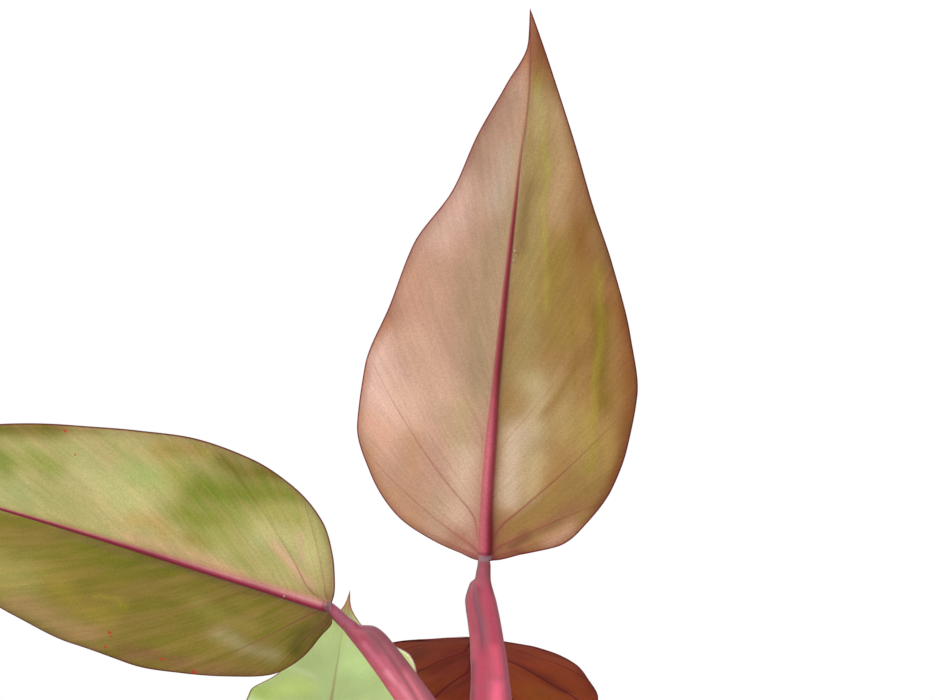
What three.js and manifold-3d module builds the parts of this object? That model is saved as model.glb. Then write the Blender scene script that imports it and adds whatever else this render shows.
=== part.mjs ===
// A potted strawberry shake philodendron: seven lance-shaped leaves on winged pink leaf stalks round a
// short stem, with the next leaf still rolled at its tip, in bark soil in a plain terracotta pot.
// Millimetres, +Z up. The origin is the middle of the pot's foot, +X is to the viewer's right and +Y
// points away from the viewer, who sees the underside of the two leaves that stand nearest.

import * as THREE from "three";
import Module from "manifold-3d";
import { mergeVertices } from "three/addons/utils/BufferGeometryUtils.js";

// Driving dimensions

const gap = 0.3;                      // clearance between pieces that touch
const potHeight = 138;
const potRimRadius = 80;
const potFootRadius = 52;
const potWall = 6;
const collarHeight = 32;
const collarStep = 3;
const drainHoleRadius = 6;
const drainHoleCircle = 27;
const soilLevel = 118;
const stemRadius = 7.5;
const stemBottom = 66;
const stemTop = 200;
const spearHeight = 62;
const spearRadius = 5.2;
const bladeThickness = 0.9;
const ribDepth = 3.6;                 // how far the midrib stands out under the blade at its base
const ribHalfWidth = 3;
const stalkTopRadius = 2.6;
const wingEase = 8;                   // length over which the stalk's wings reach their full width

// Shares of the blade's length at which the half widths of each leaf are given
const stations = [0, 0.01, 0.03, 0.07, 0.14, 0.22, 0.32, 0.43, 0.55, 0.66, 0.76, 0.86, 0.94, 1];

// Half widths of a stalk's wing at these distances below the place where it begins
const wingPlaces = [0, 2.5, 10, 35, 70, 250];
const plainWing = [3.2, 4.4, 7, 7.8, 9.3, 8.6];

// Each leaf has its stalk's curve, which ends where the blade starts, and its midrib's curve (both as
// four control points), the side of the stem that it grows from, the length of round neck above each
// of the stalk's two wings and the wings' half widths, the direction that the upper side faces at the
// base and at the tip, the fold of each half above flat in degrees, the waves of the margin, how far
// the basal lobes reach back, and its half widths on both sides. Positive is the side of midrib
// direction cross facing direction, and comes first where both sides are given.
const leaves = [
  {
    name: "1", stalk: [[0, -7.5, 188], [-5, -10.5, 234], [-8, -25, 292], [-6, -40, 329.6]],
    midrib: [[-6, -40, 329.6], [-5, -60, 407], [13, -90, 478.5], [12, -128, 545.5]],
    azimuth: 270, necks: [5.5, 9.8],
    wings: [[5.4, 5.4, 7.6, 5.4, 8.6, 8.6], [3.9, 4.4, 5.9, 10.3, 12.5, 8.6]],
    faceBase: [0.05, 0.92, 0.38], faceTip: [0.05, 0.92, 0.38],
    fold: 11, wave: 2.5, waves: 2.6, phase: 0.6, lobe: 1.5,
    positive: [2, 10, 22.7, 39.6, 52.7, 59.6, 58.5, 50.6, 42.8, 28.2, 20.3, 9.2, 0.6, 0],
    negative: [2.3, 14.3, 33.1, 43.5, 54.3, 59.4, 61.2, 55, 43.7, 31.5, 21.9, 12.2, 5.1, 0],
  },
  {
    name: "2", stalk: [[0, 7.5, 184], [0, 13, 232], [-1, 40, 293], [-9.5, 76, 305]],
    midrib: [[-9.5, 76, 305], [-9, 159, 321], [-8, 236, 290], [-6, 296, 236]],
    azimuth: 88, necks: [12, 12], wings: [plainWing, plainWing],
    faceBase: [0.06, 0.1, 0.99], faceTip: [0.06, 0.6, 0.8],
    fold: -7, wave: 0.5, waves: 2.2, phase: 1, lobe: 10,
    positive: [4, 10.1, 16.1, 24.2, 31.4, 42.4, 52.4, 58.7, 64.9, 62.7, 50.8, 32.2, 12.8, 0],
    negative: [4, 11.8, 20.6, 25.8, 29.6, 45.4, 60.2, 64.8, 62.9, 53.1, 38, 21, 6, 0],
  },
  {
    name: "3", stalk: [[-7.5, 0, 172], [-8, -1, 241], [-38, -1, 275], [-73.5, -12, 312.5]],
    midrib: [[-73.5, -12, 312.5], [-151.5, -24, 335.5], [-223, -38, 356], [-298.5, -56, 374]],
    azimuth: 185, necks: [14, 13],
    wings: [[2.8, 3, 3.5, 6.1, 6.1, 8], [3.6, 5.7, 10, 10.3, 13.6, 8.6]],
    faceBase: [0, 0.84, 0.54], faceTip: [0, 0.84, 0.54],
    fold: 9, wave: 2.5, waves: 2.2, phase: 2, lobe: 6.5,
    positive: [7.8, 23.4, 34.5, 46.3, 53.3, 58.6, 63.4, 62.9, 54.5, 42.5, 30.5, 17.1, 6.8, 0],
    negative: [2.7, 12.4, 22.7, 36.2, 46.9, 51.9, 53.3, 50.5, 44.1, 35.3, 24.8, 14.7, 5.7, 0],
  },
  {
    name: "4", stalk: [[6, -4.6, 160], [24, -19, 205], [62, -48, 232], [93, -72, 226]],
    midrib: [[93, -72, 226], [140, -109, 236], [186, -145, 205], [212, -166, 145]],
    azimuth: 322, necks: [12, 12], wings: [plainWing, plainWing],
    faceBase: [-0.1, 0.08, 1], faceTip: [0.6, -0.45, 0.66],
    fold: 14, wave: 2.5, waves: 2.4, phase: 0.3, lobe: 6,
    positive: [7, 16, 28, 41, 51, 56, 57, 52, 43, 32, 22, 12, 4, 0],
    negative: [7, 15, 27, 40, 50, 56, 58, 53, 44, 33, 22, 11, 4, 0],
  },
  {
    name: "5", stalk: [[-7.3, 2, 150], [-37, 0, 187], [-78, -12, 223], [-78.5, 22, 245.5]],
    midrib: [[-78.5, 22, 245.5], [-78.5, 52, 263.5], [-76.5, 88, 290.5], [-71.5, 112, 332.5]],
    azimuth: 165, necks: [12, 12], wings: [plainWing, plainWing],
    faceBase: [0, -0.7, 0.7], faceTip: [0, -0.8, 0.6],
    fold: 10, wave: 1.5, waves: 2, phase: 1, lobe: 4,
    positive: [6, 13.8, 22.4, 31.1, 37.7, 41.5, 42.5, 41.3, 39.8, 35.5, 22, 7.4, 1.5, 0],
    negative: [6, 12.9, 20.9, 29, 35, 37.5, 38.9, 38.1, 26.9, 20, 13.8, 7.2, 1.5, 0],
  },
  {
    name: "6", stalk: [[-4, -6.4, 141], [-17, -27, 186], [-36, -56, 213], [-57, -88, 205]],
    midrib: [[-57, -88, 205], [-83, -128, 213], [-114, -176, 183], [-132, -204, 128]],
    azimuth: 237, necks: [12, 12], wings: [plainWing, plainWing],
    faceBase: [0.06, 0.1, 1], faceTip: [-0.42, -0.63, 0.65],
    fold: 12, wave: 2, waves: 2.3, phase: 2.4, lobe: 6,
    positive: [6, 14, 25, 36, 46, 50, 51, 46, 38, 28, 19, 10, 3.5, 0],
    negative: [6, 14, 24, 36, 45, 50, 50, 46, 38, 29, 20, 10, 3.5, 0],
  },
  {
    name: "7", stalk: [[7.2, 2, 131], [32, 9, 180], [82, 22, 222], [121, 32, 214]],
    midrib: [[121, 32, 214], [166, 44, 222], [216, 57, 190], [244, 65, 132]],
    azimuth: 15, necks: [12, 12], wings: [plainWing, plainWing],
    faceBase: [-0.12, -0.03, 1], faceTip: [0.72, 0.2, 0.66],
    fold: 13, wave: 2, waves: 2.5, phase: 1.2, lobe: 6,
    positive: [7, 15, 26, 38, 47, 52, 53, 48, 40, 30, 20, 10, 3.5, 0],
    negative: [7, 15, 27, 39, 48, 53, 54, 49, 40, 29, 20, 10, 3.5, 0],
  },
];

const wasm = await Module();
wasm.setup();

// Turns a closed geometry into a solid that can be joined or cut.
function toSolid(geometry) {
  const bare = geometry.clone();
  bare.deleteAttribute("normal");
  bare.deleteAttribute("uv");
  const merged = mergeVertices(bare, 1e-4);
  const vertProperties = new Float32Array(merged.attributes.position.array);
  const triVerts = new Uint32Array(merged.index.array);
  return new wasm.Manifold(new wasm.Mesh({ numProp: 3, vertProperties, triVerts }));
}

function toGeometry(solid) {
  const mesh = solid.getMesh();
  return fromTriangles(Array.from(mesh.vertProperties), Array.from(mesh.triVerts));
}

function fromTriangles(positions, triangles) {
  const geometry = new THREE.BufferGeometry();
  geometry.setAttribute("position", new THREE.Float32BufferAttribute(positions, 3));
  geometry.setIndex(triangles);
  geometry.computeVertexNormals();
  return geometry;
}

// Smooth curve through given heights that never overshoots them.
function throughStations(x, places, heights) {
  const spans = places.slice(1).map((place, i) => place - places[i]);
  const slopes = spans.map((span, i) => (heights[i + 1] - heights[i]) / span);
  const tangent = (i) => {
    if (i === 0) return slopes[0];
    if (i === slopes.length) return slopes[i - 1];
    if (slopes[i - 1] * slopes[i] <= 0) return 0;
    const near = 2 * spans[i] + spans[i - 1];
    const far = spans[i] + 2 * spans[i - 1];
    return (near + far) / (near / slopes[i - 1] + far / slopes[i]);
  };
  const last = spans.length - 1;
  let i = 0;
  while (i < last && x >= places[i + 1]) i += 1;
  const u = (x - places[i]) / spans[i];
  const rise = 3 * u * u - 2 * u ** 3;
  const bend = (u ** 3 - 2 * u * u + u) * spans[i] * tangent(i) + (u ** 3 - u * u) * spans[i] * tangent(i + 1);
  return heights[i] + (heights[i + 1] - heights[i]) * rise + bend;
}

// Latheable profile from [radius, height] pairs, turned round the Z axis.
function turned(pairs, sides) {
  const profile = pairs.map(([radius, height]) => new THREE.Vector2(radius, height));
  return new THREE.LatheGeometry(profile, sides).rotateX(Math.PI / 2);
}

// Pot: tapered wall, thick collar with an eased lip, and drain holes round the middle of the floor

const collarBottom = potHeight - collarHeight;
const wallTopRadius = potRimRadius - collarStep - 1;
const wallSlope = (wallTopRadius - potFootRadius) / collarBottom;
const innerRadiusAt = (z) => potFootRadius + wallSlope * z - potWall;
const floorThickness = 8;

function potGeometry() {
  const lipEase = 2;
  const profile = [
    [0, 0],
    [potFootRadius - 1.5, 0],
    [potFootRadius, 1.5],
    [wallTopRadius, collarBottom],
    [potRimRadius - 2.2, collarBottom + 0.6],
    [potRimRadius - 1.5, collarBottom + 3],
    [potRimRadius, potHeight - lipEase],
    [potRimRadius - lipEase, potHeight],
    [innerRadiusAt(potHeight) + lipEase, potHeight],
    [innerRadiusAt(potHeight), potHeight - lipEase],
    [innerRadiusAt(floorThickness), floorThickness],
    [0, floorThickness],
  ];
  let pot = toSolid(turned(profile, 56));
  for (let k = 0; k < 3; k += 1) {
    const turn = (k / 3) * 2 * Math.PI + Math.PI / 2;
    const hole = new THREE.CylinderGeometry(drainHoleRadius, drainHoleRadius, 3 * floorThickness, 20);
    hole.rotateX(Math.PI / 2);
    hole.translate(drainHoleCircle * Math.cos(turn), drainHoleCircle * Math.sin(turn), floorThickness / 2);
    pot = pot.subtract(toSolid(hole));
  }
  return toGeometry(pot);
}

// Soil: fills the pot, mounded a little round the stem, with a plain hole that the stem stands in

const stemInSoilRadius = stemRadius + 0.5;

function soilGeometry() {
  const bottom = floorThickness + gap;
  const holeRadius = stemInSoilRadius + gap;
  const edge = innerRadiusAt(soilLevel - 3) - gap;
  const rings = 5;
  const profile = [[0, bottom], [innerRadiusAt(bottom) - gap, bottom], [edge, soilLevel - 3]];
  for (let i = 1; i <= rings; i += 1) {
    const share = i / rings;
    profile.push([edge + (holeRadius - edge) * share, soilLevel - 3 + 5 * share ** 0.6]);
  }
  profile.push([holeRadius, stemBottom - gap], [0, stemBottom - gap]);
  const geometry = turned(profile, 36);
  const place = geometry.attributes.position;
  for (let i = 0; i < place.count; i += 1) {
    const x = place.getX(i);
    const y = place.getY(i);
    const radius = Math.hypot(x, y);
    const open = THREE.MathUtils.smoothstep(radius, holeRadius + 1, holeRadius + 12);
    const inside = 1 - THREE.MathUtils.smoothstep(radius, edge - 8, edge - 0.5);
    if (place.getZ(i) > soilLevel - 4) {
      const lumps = Math.sin(0.21 * x + 0.13 * y) + Math.sin(0.09 * x - 0.27 * y + 1.7);
      place.setZ(i, place.getZ(i) + 1.2 * lumps * open * inside);
    }
  }
  return geometry;
}

// Stem: short and thick, with a ring at each leaf scar

const nodeHeights = leaves.map((leaf) => leaf.stalk[0][2] - 3);

function stemGeometry(extra, sides) {
  const profile = [[0, stemBottom - extra]];
  profile.push([stemInSoilRadius - 1.5 + extra, stemBottom - extra]);
  profile.push([stemInSoilRadius + extra, stemBottom + 2]);
  profile.push([stemInSoilRadius + extra, soilLevel + 2]);
  const rings = [...nodeHeights].sort((a, b) => a - b);
  for (const z of rings) {
    profile.push([stemRadius - 0.4 + extra, z - 3.2]);
    profile.push([stemRadius + 0.2 + extra, z]);
  }
  profile.push([stemRadius - 0.6 + extra, stemTop - 3]);
  profile.push([stemRadius - 2.2 + extra, stemTop + extra]);
  profile.push([0, stemTop + extra]);
  return turned(profile, sides);
}

// New leaf: the next blade, still rolled to a pointed spear on the stem's tip

function newLeafGeometry() {
  const rings = 9;
  const profile = [[0, stemTop + gap]];
  for (let i = 0; i < rings; i += 1) {
    const share = i / rings;
    const swell = Math.sin(Math.PI * (0.3 + 0.7 * share)) ** 0.75;
    profile.push([spearRadius * swell, stemTop + gap + spearHeight * share]);
  }
  profile.push([0, stemTop + gap + spearHeight]);
  const geometry = turned(profile, 14);
  const place = geometry.attributes.position;
  for (let i = 0; i < place.count; i += 1) {
    const share = (place.getZ(i) - stemTop) / spearHeight;
    place.setX(i, place.getX(i) + 5 * share * share);
    place.setY(i, place.getY(i) + 2 * share * share);
  }
  return geometry;
}

// Leaf stalk: round below the blade, then with a wing on each side that clasps the stem at the bottom

// Section points as [sideways, towards the upper side], in half widths and half depths
const wingedSection = [
  [0, -1], [0.52, -0.87], [0.84, -0.42], [1, 0.4], [0.93, 0.85], [0.66, 0.3],
  [0, 0], [-0.66, 0.3], [-0.93, 0.85], [-1, 0.4], [-0.84, -0.42], [-0.52, -0.87],
];
const grooveFilled = wingedSection.map(([side, up], k) => (k >= 5 && k <= 7 ? [side, 0.9] : [side, up]));

// With extra above zero this is the room that a stalk takes up: grown all round, its groove filled.
function stalkGeometry(leaf, extra) {
  const section = extra > 0 ? grooveFilled : wingedSection;
  const curve = new THREE.CubicBezierCurve3(...leaf.stalk.map((point) => new THREE.Vector3(...point)));
  const length = curve.getLength();
  const ribStart = new THREE.Vector3(...leaf.midrib[1]).sub(new THREE.Vector3(...leaf.midrib[0])).normalize();
  const azimuth = THREE.MathUtils.degToRad(leaf.azimuth);
  const inward = new THREE.Vector3(-Math.cos(azimuth), -Math.sin(azimuth), 0.9);
  const facing = new THREE.Vector3(...leaf.faceBase);
  const count = section.length;

  // Distances from the blade: close together where the wings begin, then even
  const neck = (leaf.necks[0] + leaf.necks[1]) / 2;
  const evenFrom = neck + 17;
  const distances = [gap + 0.05, 0.6 * neck, neck, neck + 2.5, neck + 5.5, neck + 10, evenFrom];
  const evenSteps = Math.max(4, Math.round((length - evenFrom) / 15));
  for (let i = 1; i <= evenSteps; i += 1) distances.push(evenFrom + ((length - evenFrom) * i) / evenSteps);

  const positions = [];
  for (const distance of distances) {
    const along = 1 - distance / length;
    const centre = curve.getPointAt(along);
    const direction = curve.getTangentAt(along);
    direction.lerp(ribStart, Math.max(0, 1 - distance / 6)).normalize();
    if (distance === length) centre.addScaledVector(direction, -1.5 * extra);
    const upper = inward.clone().lerp(facing, along);
    upper.addScaledVector(direction, -upper.dot(direction)).normalize();
    const sideways = direction.clone().cross(upper);
    const foot = THREE.MathUtils.smoothstep(distance, length - 9, length);
    const depth = throughStations(distance, [0, 12, 40, 90, 260], [2.6, 3.2, 3.9, 4.9, 5.2]) * (1 - 0.3 * foot);
    section.forEach(([side, up], k) => {
      const angle = (k / count) * 2 * Math.PI - Math.PI / 2;
      const which = side > 0 ? 0 : 1;
      const begins = side === 0 ? neck : leaf.necks[which];
      const winged = THREE.MathUtils.smoothstep(distance, begins, begins + wingEase);
      const radius = stalkTopRadius + 0.055 * distance * (1 - winged) + extra;
      const below = Math.max(-begins, distance - begins);
      const width = throughStations(below, [-begins, ...wingPlaces], [stalkTopRadius, ...leaf.wings[which]]);
      const halfWidth = width * (1 - 0.12 * foot) + extra;
      const sidewaysBy = THREE.MathUtils.lerp(radius * Math.cos(angle), side * halfWidth, winged);
      const upperBy = THREE.MathUtils.lerp(radius * Math.sin(angle), up * (depth + extra), winged);
      const point = centre.clone().addScaledVector(sideways, sidewaysBy).addScaledVector(upper, upperBy);
      positions.push(point.x, point.y, point.z);
    });
  }

  const triangles = [];
  for (let ring = 0; ring + 1 < distances.length; ring += 1) {
    for (let k = 0; k < count; k += 1) {
      const a = ring * count + k;
      const b = ring * count + ((k + 1) % count);
      triangles.push(a, b, a + count, b, b + count, a + count);
    }
  }
  const lastRing = (distances.length - 1) * count;
  closeSection(triangles, 0, true);
  closeSection(triangles, lastRing, false);
  return fromTriangles(positions, triangles);
}

// Closes the end of a winged section: the belly as one fan, and each wing as two triangles.
function closeSection(triangles, first, flipped) {
  const faces = [
    [6, 0, 1], [6, 1, 2], [6, 2, 5], [5, 2, 3], [5, 3, 4],
    [6, 11, 0], [6, 10, 11], [6, 7, 10], [7, 9, 10], [7, 8, 9],
  ];
  for (const [a, b, c] of faces) {
    if (flipped) triangles.push(first + a, first + c, first + b);
    else triangles.push(first + a, first + b, first + c);
  }
}

// Blade: a thin leaf whose surface follows its side veins. A vein leaves the midrib at one share of
// the length and meets the margin further on, so rows of points run along the veins.

const veinRows = [0, 0.06, 0.12, 0.19, 0.26, 0.33, 0.4, 0.47, 0.54, 0.61, 0.68, 0.75, 0.82, 0.89, 0.95];
const acrossSteps = [0.36, 0.7, 1];

function bladePoint(leaf, vein, out, side) {
  const meetsMargin = 1.6 * vein ** 2 - 0.6 * vein ** 3;
  const leavesRib = meetsMargin ** 2.6;
  const along = leavesRib + (meetsMargin - leavesRib) * (0.75 * out + 0.25 * out * out);
  const widths = side < 0 ? leaf.negative : leaf.positive;
  const places = stations.map(Math.sqrt);
  const halfWidth = throughStations(Math.sqrt(meetsMargin), places, widths);
  const across = out * halfWidth;

  const rib = leaf.ribCurve.getPoint(along);
  const forward = leaf.ribCurve.getTangent(along);
  const facing = new THREE.Vector3(...leaf.faceBase).lerp(new THREE.Vector3(...leaf.faceTip), along);
  facing.addScaledVector(forward, -facing.dot(forward)).normalize();
  const sideways = forward.clone().cross(facing);

  const fold = THREE.MathUtils.degToRad(leaf.fold);
  const curl = 0.03 * out * out * halfWidth;
  const swing = Math.sin(2 * Math.PI * leaf.waves * meetsMargin + leaf.phase * side);
  const wave = leaf.wave * out * out * swing * Math.sqrt(Math.max(0, Math.sin(Math.PI * meetsMargin)));
  const back = leaf.lobe * (across / Math.max(...widths)) ** 1.5 * Math.exp(-9 * along);
  const point = rib.clone()
    .addScaledVector(sideways, side * across * Math.cos(fold))
    .addScaledVector(facing, across * Math.sin(fold) + curl + wave)
    .addScaledVector(forward, -back);
  const normal = facing.clone().addScaledVector(sideways, -side * Math.tan(fold) * Math.min(1, 4 * out));
  return { point, normal: normal.normalize(), facing, along, halfWidth };
}

function bladeGeometry(leaf) {
  leaf.ribCurve = new THREE.CubicBezierCurve3(...leaf.midrib.map((point) => new THREE.Vector3(...point)));
  const upperSide = [];
  const underSide = [];
  for (const vein of veinRows) {
    const start = bladePoint(leaf, vein, 0, 1);
    const ribHalf = ribHalfWidth * (1 - start.along) ** 0.7 + 0.4;
    const row = [];
    for (const side of [-1, 1]) {
      const width = bladePoint(leaf, vein, 1, side).halfWidth;
      const besideRib = THREE.MathUtils.clamp(ribHalf / Math.max(width, 1), 0.03, 0.3);
      const outs = [besideRib, ...acrossSteps].map((out) => bladePoint(leaf, vein, out, side));
      if (side < 0) row.push(...outs.reverse(), start);
      else row.push(...outs);
    }
    row.forEach((place, column) => {
      const onRib = column === acrossSteps.length + 1;
      const depth = onRib ? ribDepth * (1 - place.along) ** 1.3 + 0.3 : 0;
      const direction = onRib ? place.facing : place.normal;
      upperSide.push(place.point.clone().addScaledVector(direction, bladeThickness / 2));
      underSide.push(place.point.clone().addScaledVector(direction, -bladeThickness / 2 - depth));
    });
  }
  const tip = bladePoint(leaf, 1, 0, 1);
  upperSide.push(tip.point.clone().addScaledVector(tip.facing, bladeThickness / 2));
  underSide.push(tip.point.clone().addScaledVector(tip.facing, -bladeThickness / 2));

  const columns = 2 * acrossSteps.length + 3;
  const rows = veinRows.length;
  const count = upperSide.length;
  const tipIndex = count - 1;
  const triangles = [];
  const bothFaces = (a, b, c) => triangles.push(a, b, c, a + count, c + count, b + count);
  for (let r = 0; r + 1 < rows; r += 1) {
    for (let c = 0; c + 1 < columns; c += 1) {
      const corner = r * columns + c;
      const above = corner + columns;
      bothFaces(corner, corner + 1, above + 1);
      bothFaces(corner, above + 1, above);
    }
  }
  const lastRow = (rows - 1) * columns;
  for (let c = 0; c + 1 < columns; c += 1) bothFaces(lastRow + c, lastRow + c + 1, tipIndex);

  // The margin's loop, with the upper side to its left
  const loop = [];
  for (let c = 0; c < columns; c += 1) loop.push(c);
  for (let r = 1; r < rows; r += 1) loop.push(r * columns + columns - 1);
  loop.push(tipIndex);
  for (let r = rows - 1; r > 0; r -= 1) loop.push(r * columns);
  loop.forEach((a, i) => {
    const b = loop[(i + 1) % loop.length];
    triangles.push(b, a, a + count, b, a + count, b + count);
  });
  return fromTriangles([...upperSide, ...underSide].flatMap((point) => point.toArray()), triangles);
}

// The whole plant

const plant = new THREE.Group();

function addPiece(name, geometry, color, roughness) {
  const material = new THREE.MeshStandardMaterial({ color, roughness, metalness: 0 });
  const mesh = new THREE.Mesh(geometry, material);
  mesh.name = name;
  plant.add(mesh);
}

addPiece("pot", potGeometry(), 0xb5694a, 0.85);
addPiece("soil", soilGeometry(), 0x3d2c20, 0.95);
addPiece("stem", stemGeometry(0, 20), 0x6f6a3a, 0.6);
addPiece("new_leaf", newLeafGeometry(), 0xc9656f, 0.45);

// A stalk clasps the stem and the younger stalks inside it, so it is cut by them with the clearance added
let inside = toSolid(stemGeometry(gap, 20));
const bladeColors = [0xb0936a, 0x7a4026, 0xa6a25c, 0x9aa859, 0xb7c58b, 0x8f9a4e, 0xa9a765];
leaves.forEach((leaf, i) => {
  const stalk = toSolid(stalkGeometry(leaf, 0)).subtract(inside);
  inside = inside.add(toSolid(stalkGeometry(leaf, gap)));
  addPiece(`petiole_${leaf.name}`, toGeometry(stalk), 0xb9566a, 0.45);
  addPiece(`blade_${leaf.name}`, bladeGeometry(leaf), bladeColors[i], 0.4);
});

export default plant;
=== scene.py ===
import math

import bpy
import numpy as np
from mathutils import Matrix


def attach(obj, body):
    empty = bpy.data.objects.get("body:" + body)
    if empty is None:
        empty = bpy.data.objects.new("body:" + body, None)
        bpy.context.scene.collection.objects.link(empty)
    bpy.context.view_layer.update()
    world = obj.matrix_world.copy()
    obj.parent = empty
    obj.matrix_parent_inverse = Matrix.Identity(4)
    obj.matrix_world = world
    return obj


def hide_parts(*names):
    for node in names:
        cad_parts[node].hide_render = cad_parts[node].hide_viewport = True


# A potted strawberry shake philodendron, seen from a little below, with the undersides of its nearest
# leaves to the camera. Shapes are worked out in millimetres and put into the meshes in metres.

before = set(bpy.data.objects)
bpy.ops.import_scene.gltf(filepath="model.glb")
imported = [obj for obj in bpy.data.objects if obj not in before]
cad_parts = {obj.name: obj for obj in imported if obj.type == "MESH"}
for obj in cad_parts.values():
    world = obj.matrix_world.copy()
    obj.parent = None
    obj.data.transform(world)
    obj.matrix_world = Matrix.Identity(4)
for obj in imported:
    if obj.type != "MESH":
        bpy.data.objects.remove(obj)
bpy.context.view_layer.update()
mm = 0.001
fullTurn = 2 * math.pi


# Helpers: colours, nodes and meshes

def linear(hexText):
    # sRGB hex to linear light: a straight line near black, a power of 2.4 above it
    raw = np.array([int(hexText[i:i + 2], 16) / 255 for i in (1, 3, 5)])
    return np.where(raw <= 0.04045, raw / 12.92, ((raw + 0.055) / 1.055) ** 2.4)


# Names of the inputs that a call may give in a row, and the output it gets, where that isn't the first
inputOrder = {
    "Mix": ("Factor", "A", "B"), "TexNoise": ("Vector", "Scale", "Detail", "Roughness"),
    "Mapping": ("Vector", "Scale", "Location"), "Bump": ("Height", "Strength", "Distance"),
}
usualOutput = {"Mix": "Result", "Attribute": "Fac", "TexCoord": "Object", "TexNoise": "Fac"}


def add(tree, kind, inputs=(), output=None, stops=(), **settings):
    # Adds a node, sets or links its inputs, and gives back one of its output sockets. A row of inputs
    # for a map range is its value, the range that comes in and the range that goes out.
    made = tree.nodes.new("ShaderNode" + kind)
    if kind == "Mix":
        made.data_type = "RGBA"
    for name, value in settings.items():
        setattr(made, name, value)
    if not isinstance(inputs, dict):
        inputs = dict(zip(inputOrder.get(kind, range(len(inputs))), inputs))
    for key, value in inputs.items():
        if isinstance(value, bpy.types.NodeSocket):
            tree.links.new(value, made.inputs[key])
        else:
            made.inputs[key].default_value = (*linear(value), 1.0) if isinstance(value, str) else value
    if stops:
        elements = made.color_ramp.elements
        while len(elements) < len(stops):
            elements.new(0.5)
        for element, (place, hexText) in zip(elements, stops):
            element.position, element.color = place, (*linear(hexText), 1.0)
    return made.outputs[usualOutput.get(kind, 0) if output is None else output]


def newMaterial(name):
    # A material with an empty node tree to build on
    material = bpy.data.materials.new(name)
    material.use_nodes = True
    material.node_tree.nodes.clear()
    return material, material.node_tree


def finishMaterial(tree, colour, roughness, normal, settings):
    # One Principled surface: uniform values are set on the shader's own sockets
    inputs = {"Base Color": colour, "Roughness": roughness, **settings}
    if normal is not None:
        inputs["Normal"] = normal
    shader = add(tree, "BsdfPrincipled", inputs)
    tree.links.new(shader, tree.nodes.new("ShaderNodeOutputMaterial").inputs["Surface"])


def shaded(tree, colour, *patterns):
    # The colour times the product of its patterns, each given with its range and its two brightnesses
    factors = [add(tree, "MapRange", pattern) for pattern in patterns]
    product = factors[0]
    for factor in factors[1:]:
        product = add(tree, "Math", [product, factor], operation="MULTIPLY")
    return add(tree, "VectorMath", [colour, product], operation="MULTIPLY")


def newObject(name, data):
    # Puts a mesh, a lens or a lamp into the scene
    made = bpy.data.objects.new(name, data)
    bpy.context.collection.objects.link(made)
    return made


def makePiece(name, points, faces, materials, faceMaterial=None, fields=None, maps=None, smooth=True):
    # Points in millimetres and arrays of faces; fields are values at the points, maps UV pairs there
    mesh = bpy.data.meshes.new(name)
    mesh.from_pydata(np.asarray(points) * mm, [], [face for part in faces for face in part.tolist()])
    for material in materials:
        mesh.materials.append(material)
    if faceMaterial is not None:
        mesh.polygons.foreach_set("material_index", np.asarray(faceMaterial, dtype=np.int32))
    corners = np.empty(len(mesh.loops), dtype=np.int32)
    mesh.loops.foreach_get("vertex_index", corners)
    for key, values in (maps or {}).items():
        layer = mesh.uv_layers.new(name=key)
        layer.data.foreach_set("uv", np.asarray(values, dtype=np.float32)[corners].ravel())
    for key, values in (fields or {}).items():
        values = np.asarray(values, dtype=np.float32)
        if values.ndim == 2:
            layer = mesh.attributes.new(key, "FLOAT_COLOR", "POINT")
            full = np.concatenate([values, np.ones((len(values), 1), np.float32)], axis=1)
            layer.data.foreach_set("color", full.ravel())
        else:
            layer = mesh.attributes.new(key, "FLOAT", "POINT")
            layer.data.foreach_set("value", values)
    mesh.polygons.foreach_set("use_smooth", np.full(len(mesh.polygons), smooth))
    mesh.update()
    piece = newObject(name, mesh)
    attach(piece, "root")
    return piece


def gridFaces(rows, columns, wrap):
    # Quads of a grid; with wrap the last column joins the first
    across = columns if wrap else columns - 1
    row, column = np.meshgrid(np.arange(rows - 1), np.arange(across), indexing="ij")
    here = row * columns + column
    beside = row * columns + (column + 1) % columns
    return np.stack([here, beside, beside + columns, here + columns], axis=-1).reshape(-1, 4)


def closedTube(rings, poles, down=False):
    # Rings of points joined by quads, and a fan of triangles from each end ring to its pole. Faces
    # point outwards where the rings run anticlockwise and upwards, or downwards with down.
    rows, columns = rings.shape[:2]
    quads = gridFaces(rows, columns, True)
    ring = np.arange(columns)
    following = (ring + 1) % columns
    last = (rows - 1) * columns
    pole = np.full(columns, rows * columns)
    fans = np.concatenate([np.stack([following, ring, pole], axis=-1),
                           np.stack([last + ring, last + following, pole + 1], axis=-1)])
    if down:
        quads, fans = quads[:, ::-1], fans[:, [1, 0, 2]]
    return np.concatenate([rings.reshape(-1, 3), poles]), (quads, fans)


def circle(count):
    # Even steps round the unit circle
    angle = np.arange(count) / count * fullTurn
    return np.stack([np.cos(angle), np.sin(angle)], axis=-1)


def ball(rows, columns):
    # Rings of a unit ball, from the top down between its poles
    polar = np.linspace(0, math.pi, rows + 2)[1:-1, None, None]
    return np.concatenate([np.sin(polar) * circle(columns), np.cos(polar) * np.ones((rows, columns, 1))],
                          axis=-1)


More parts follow.
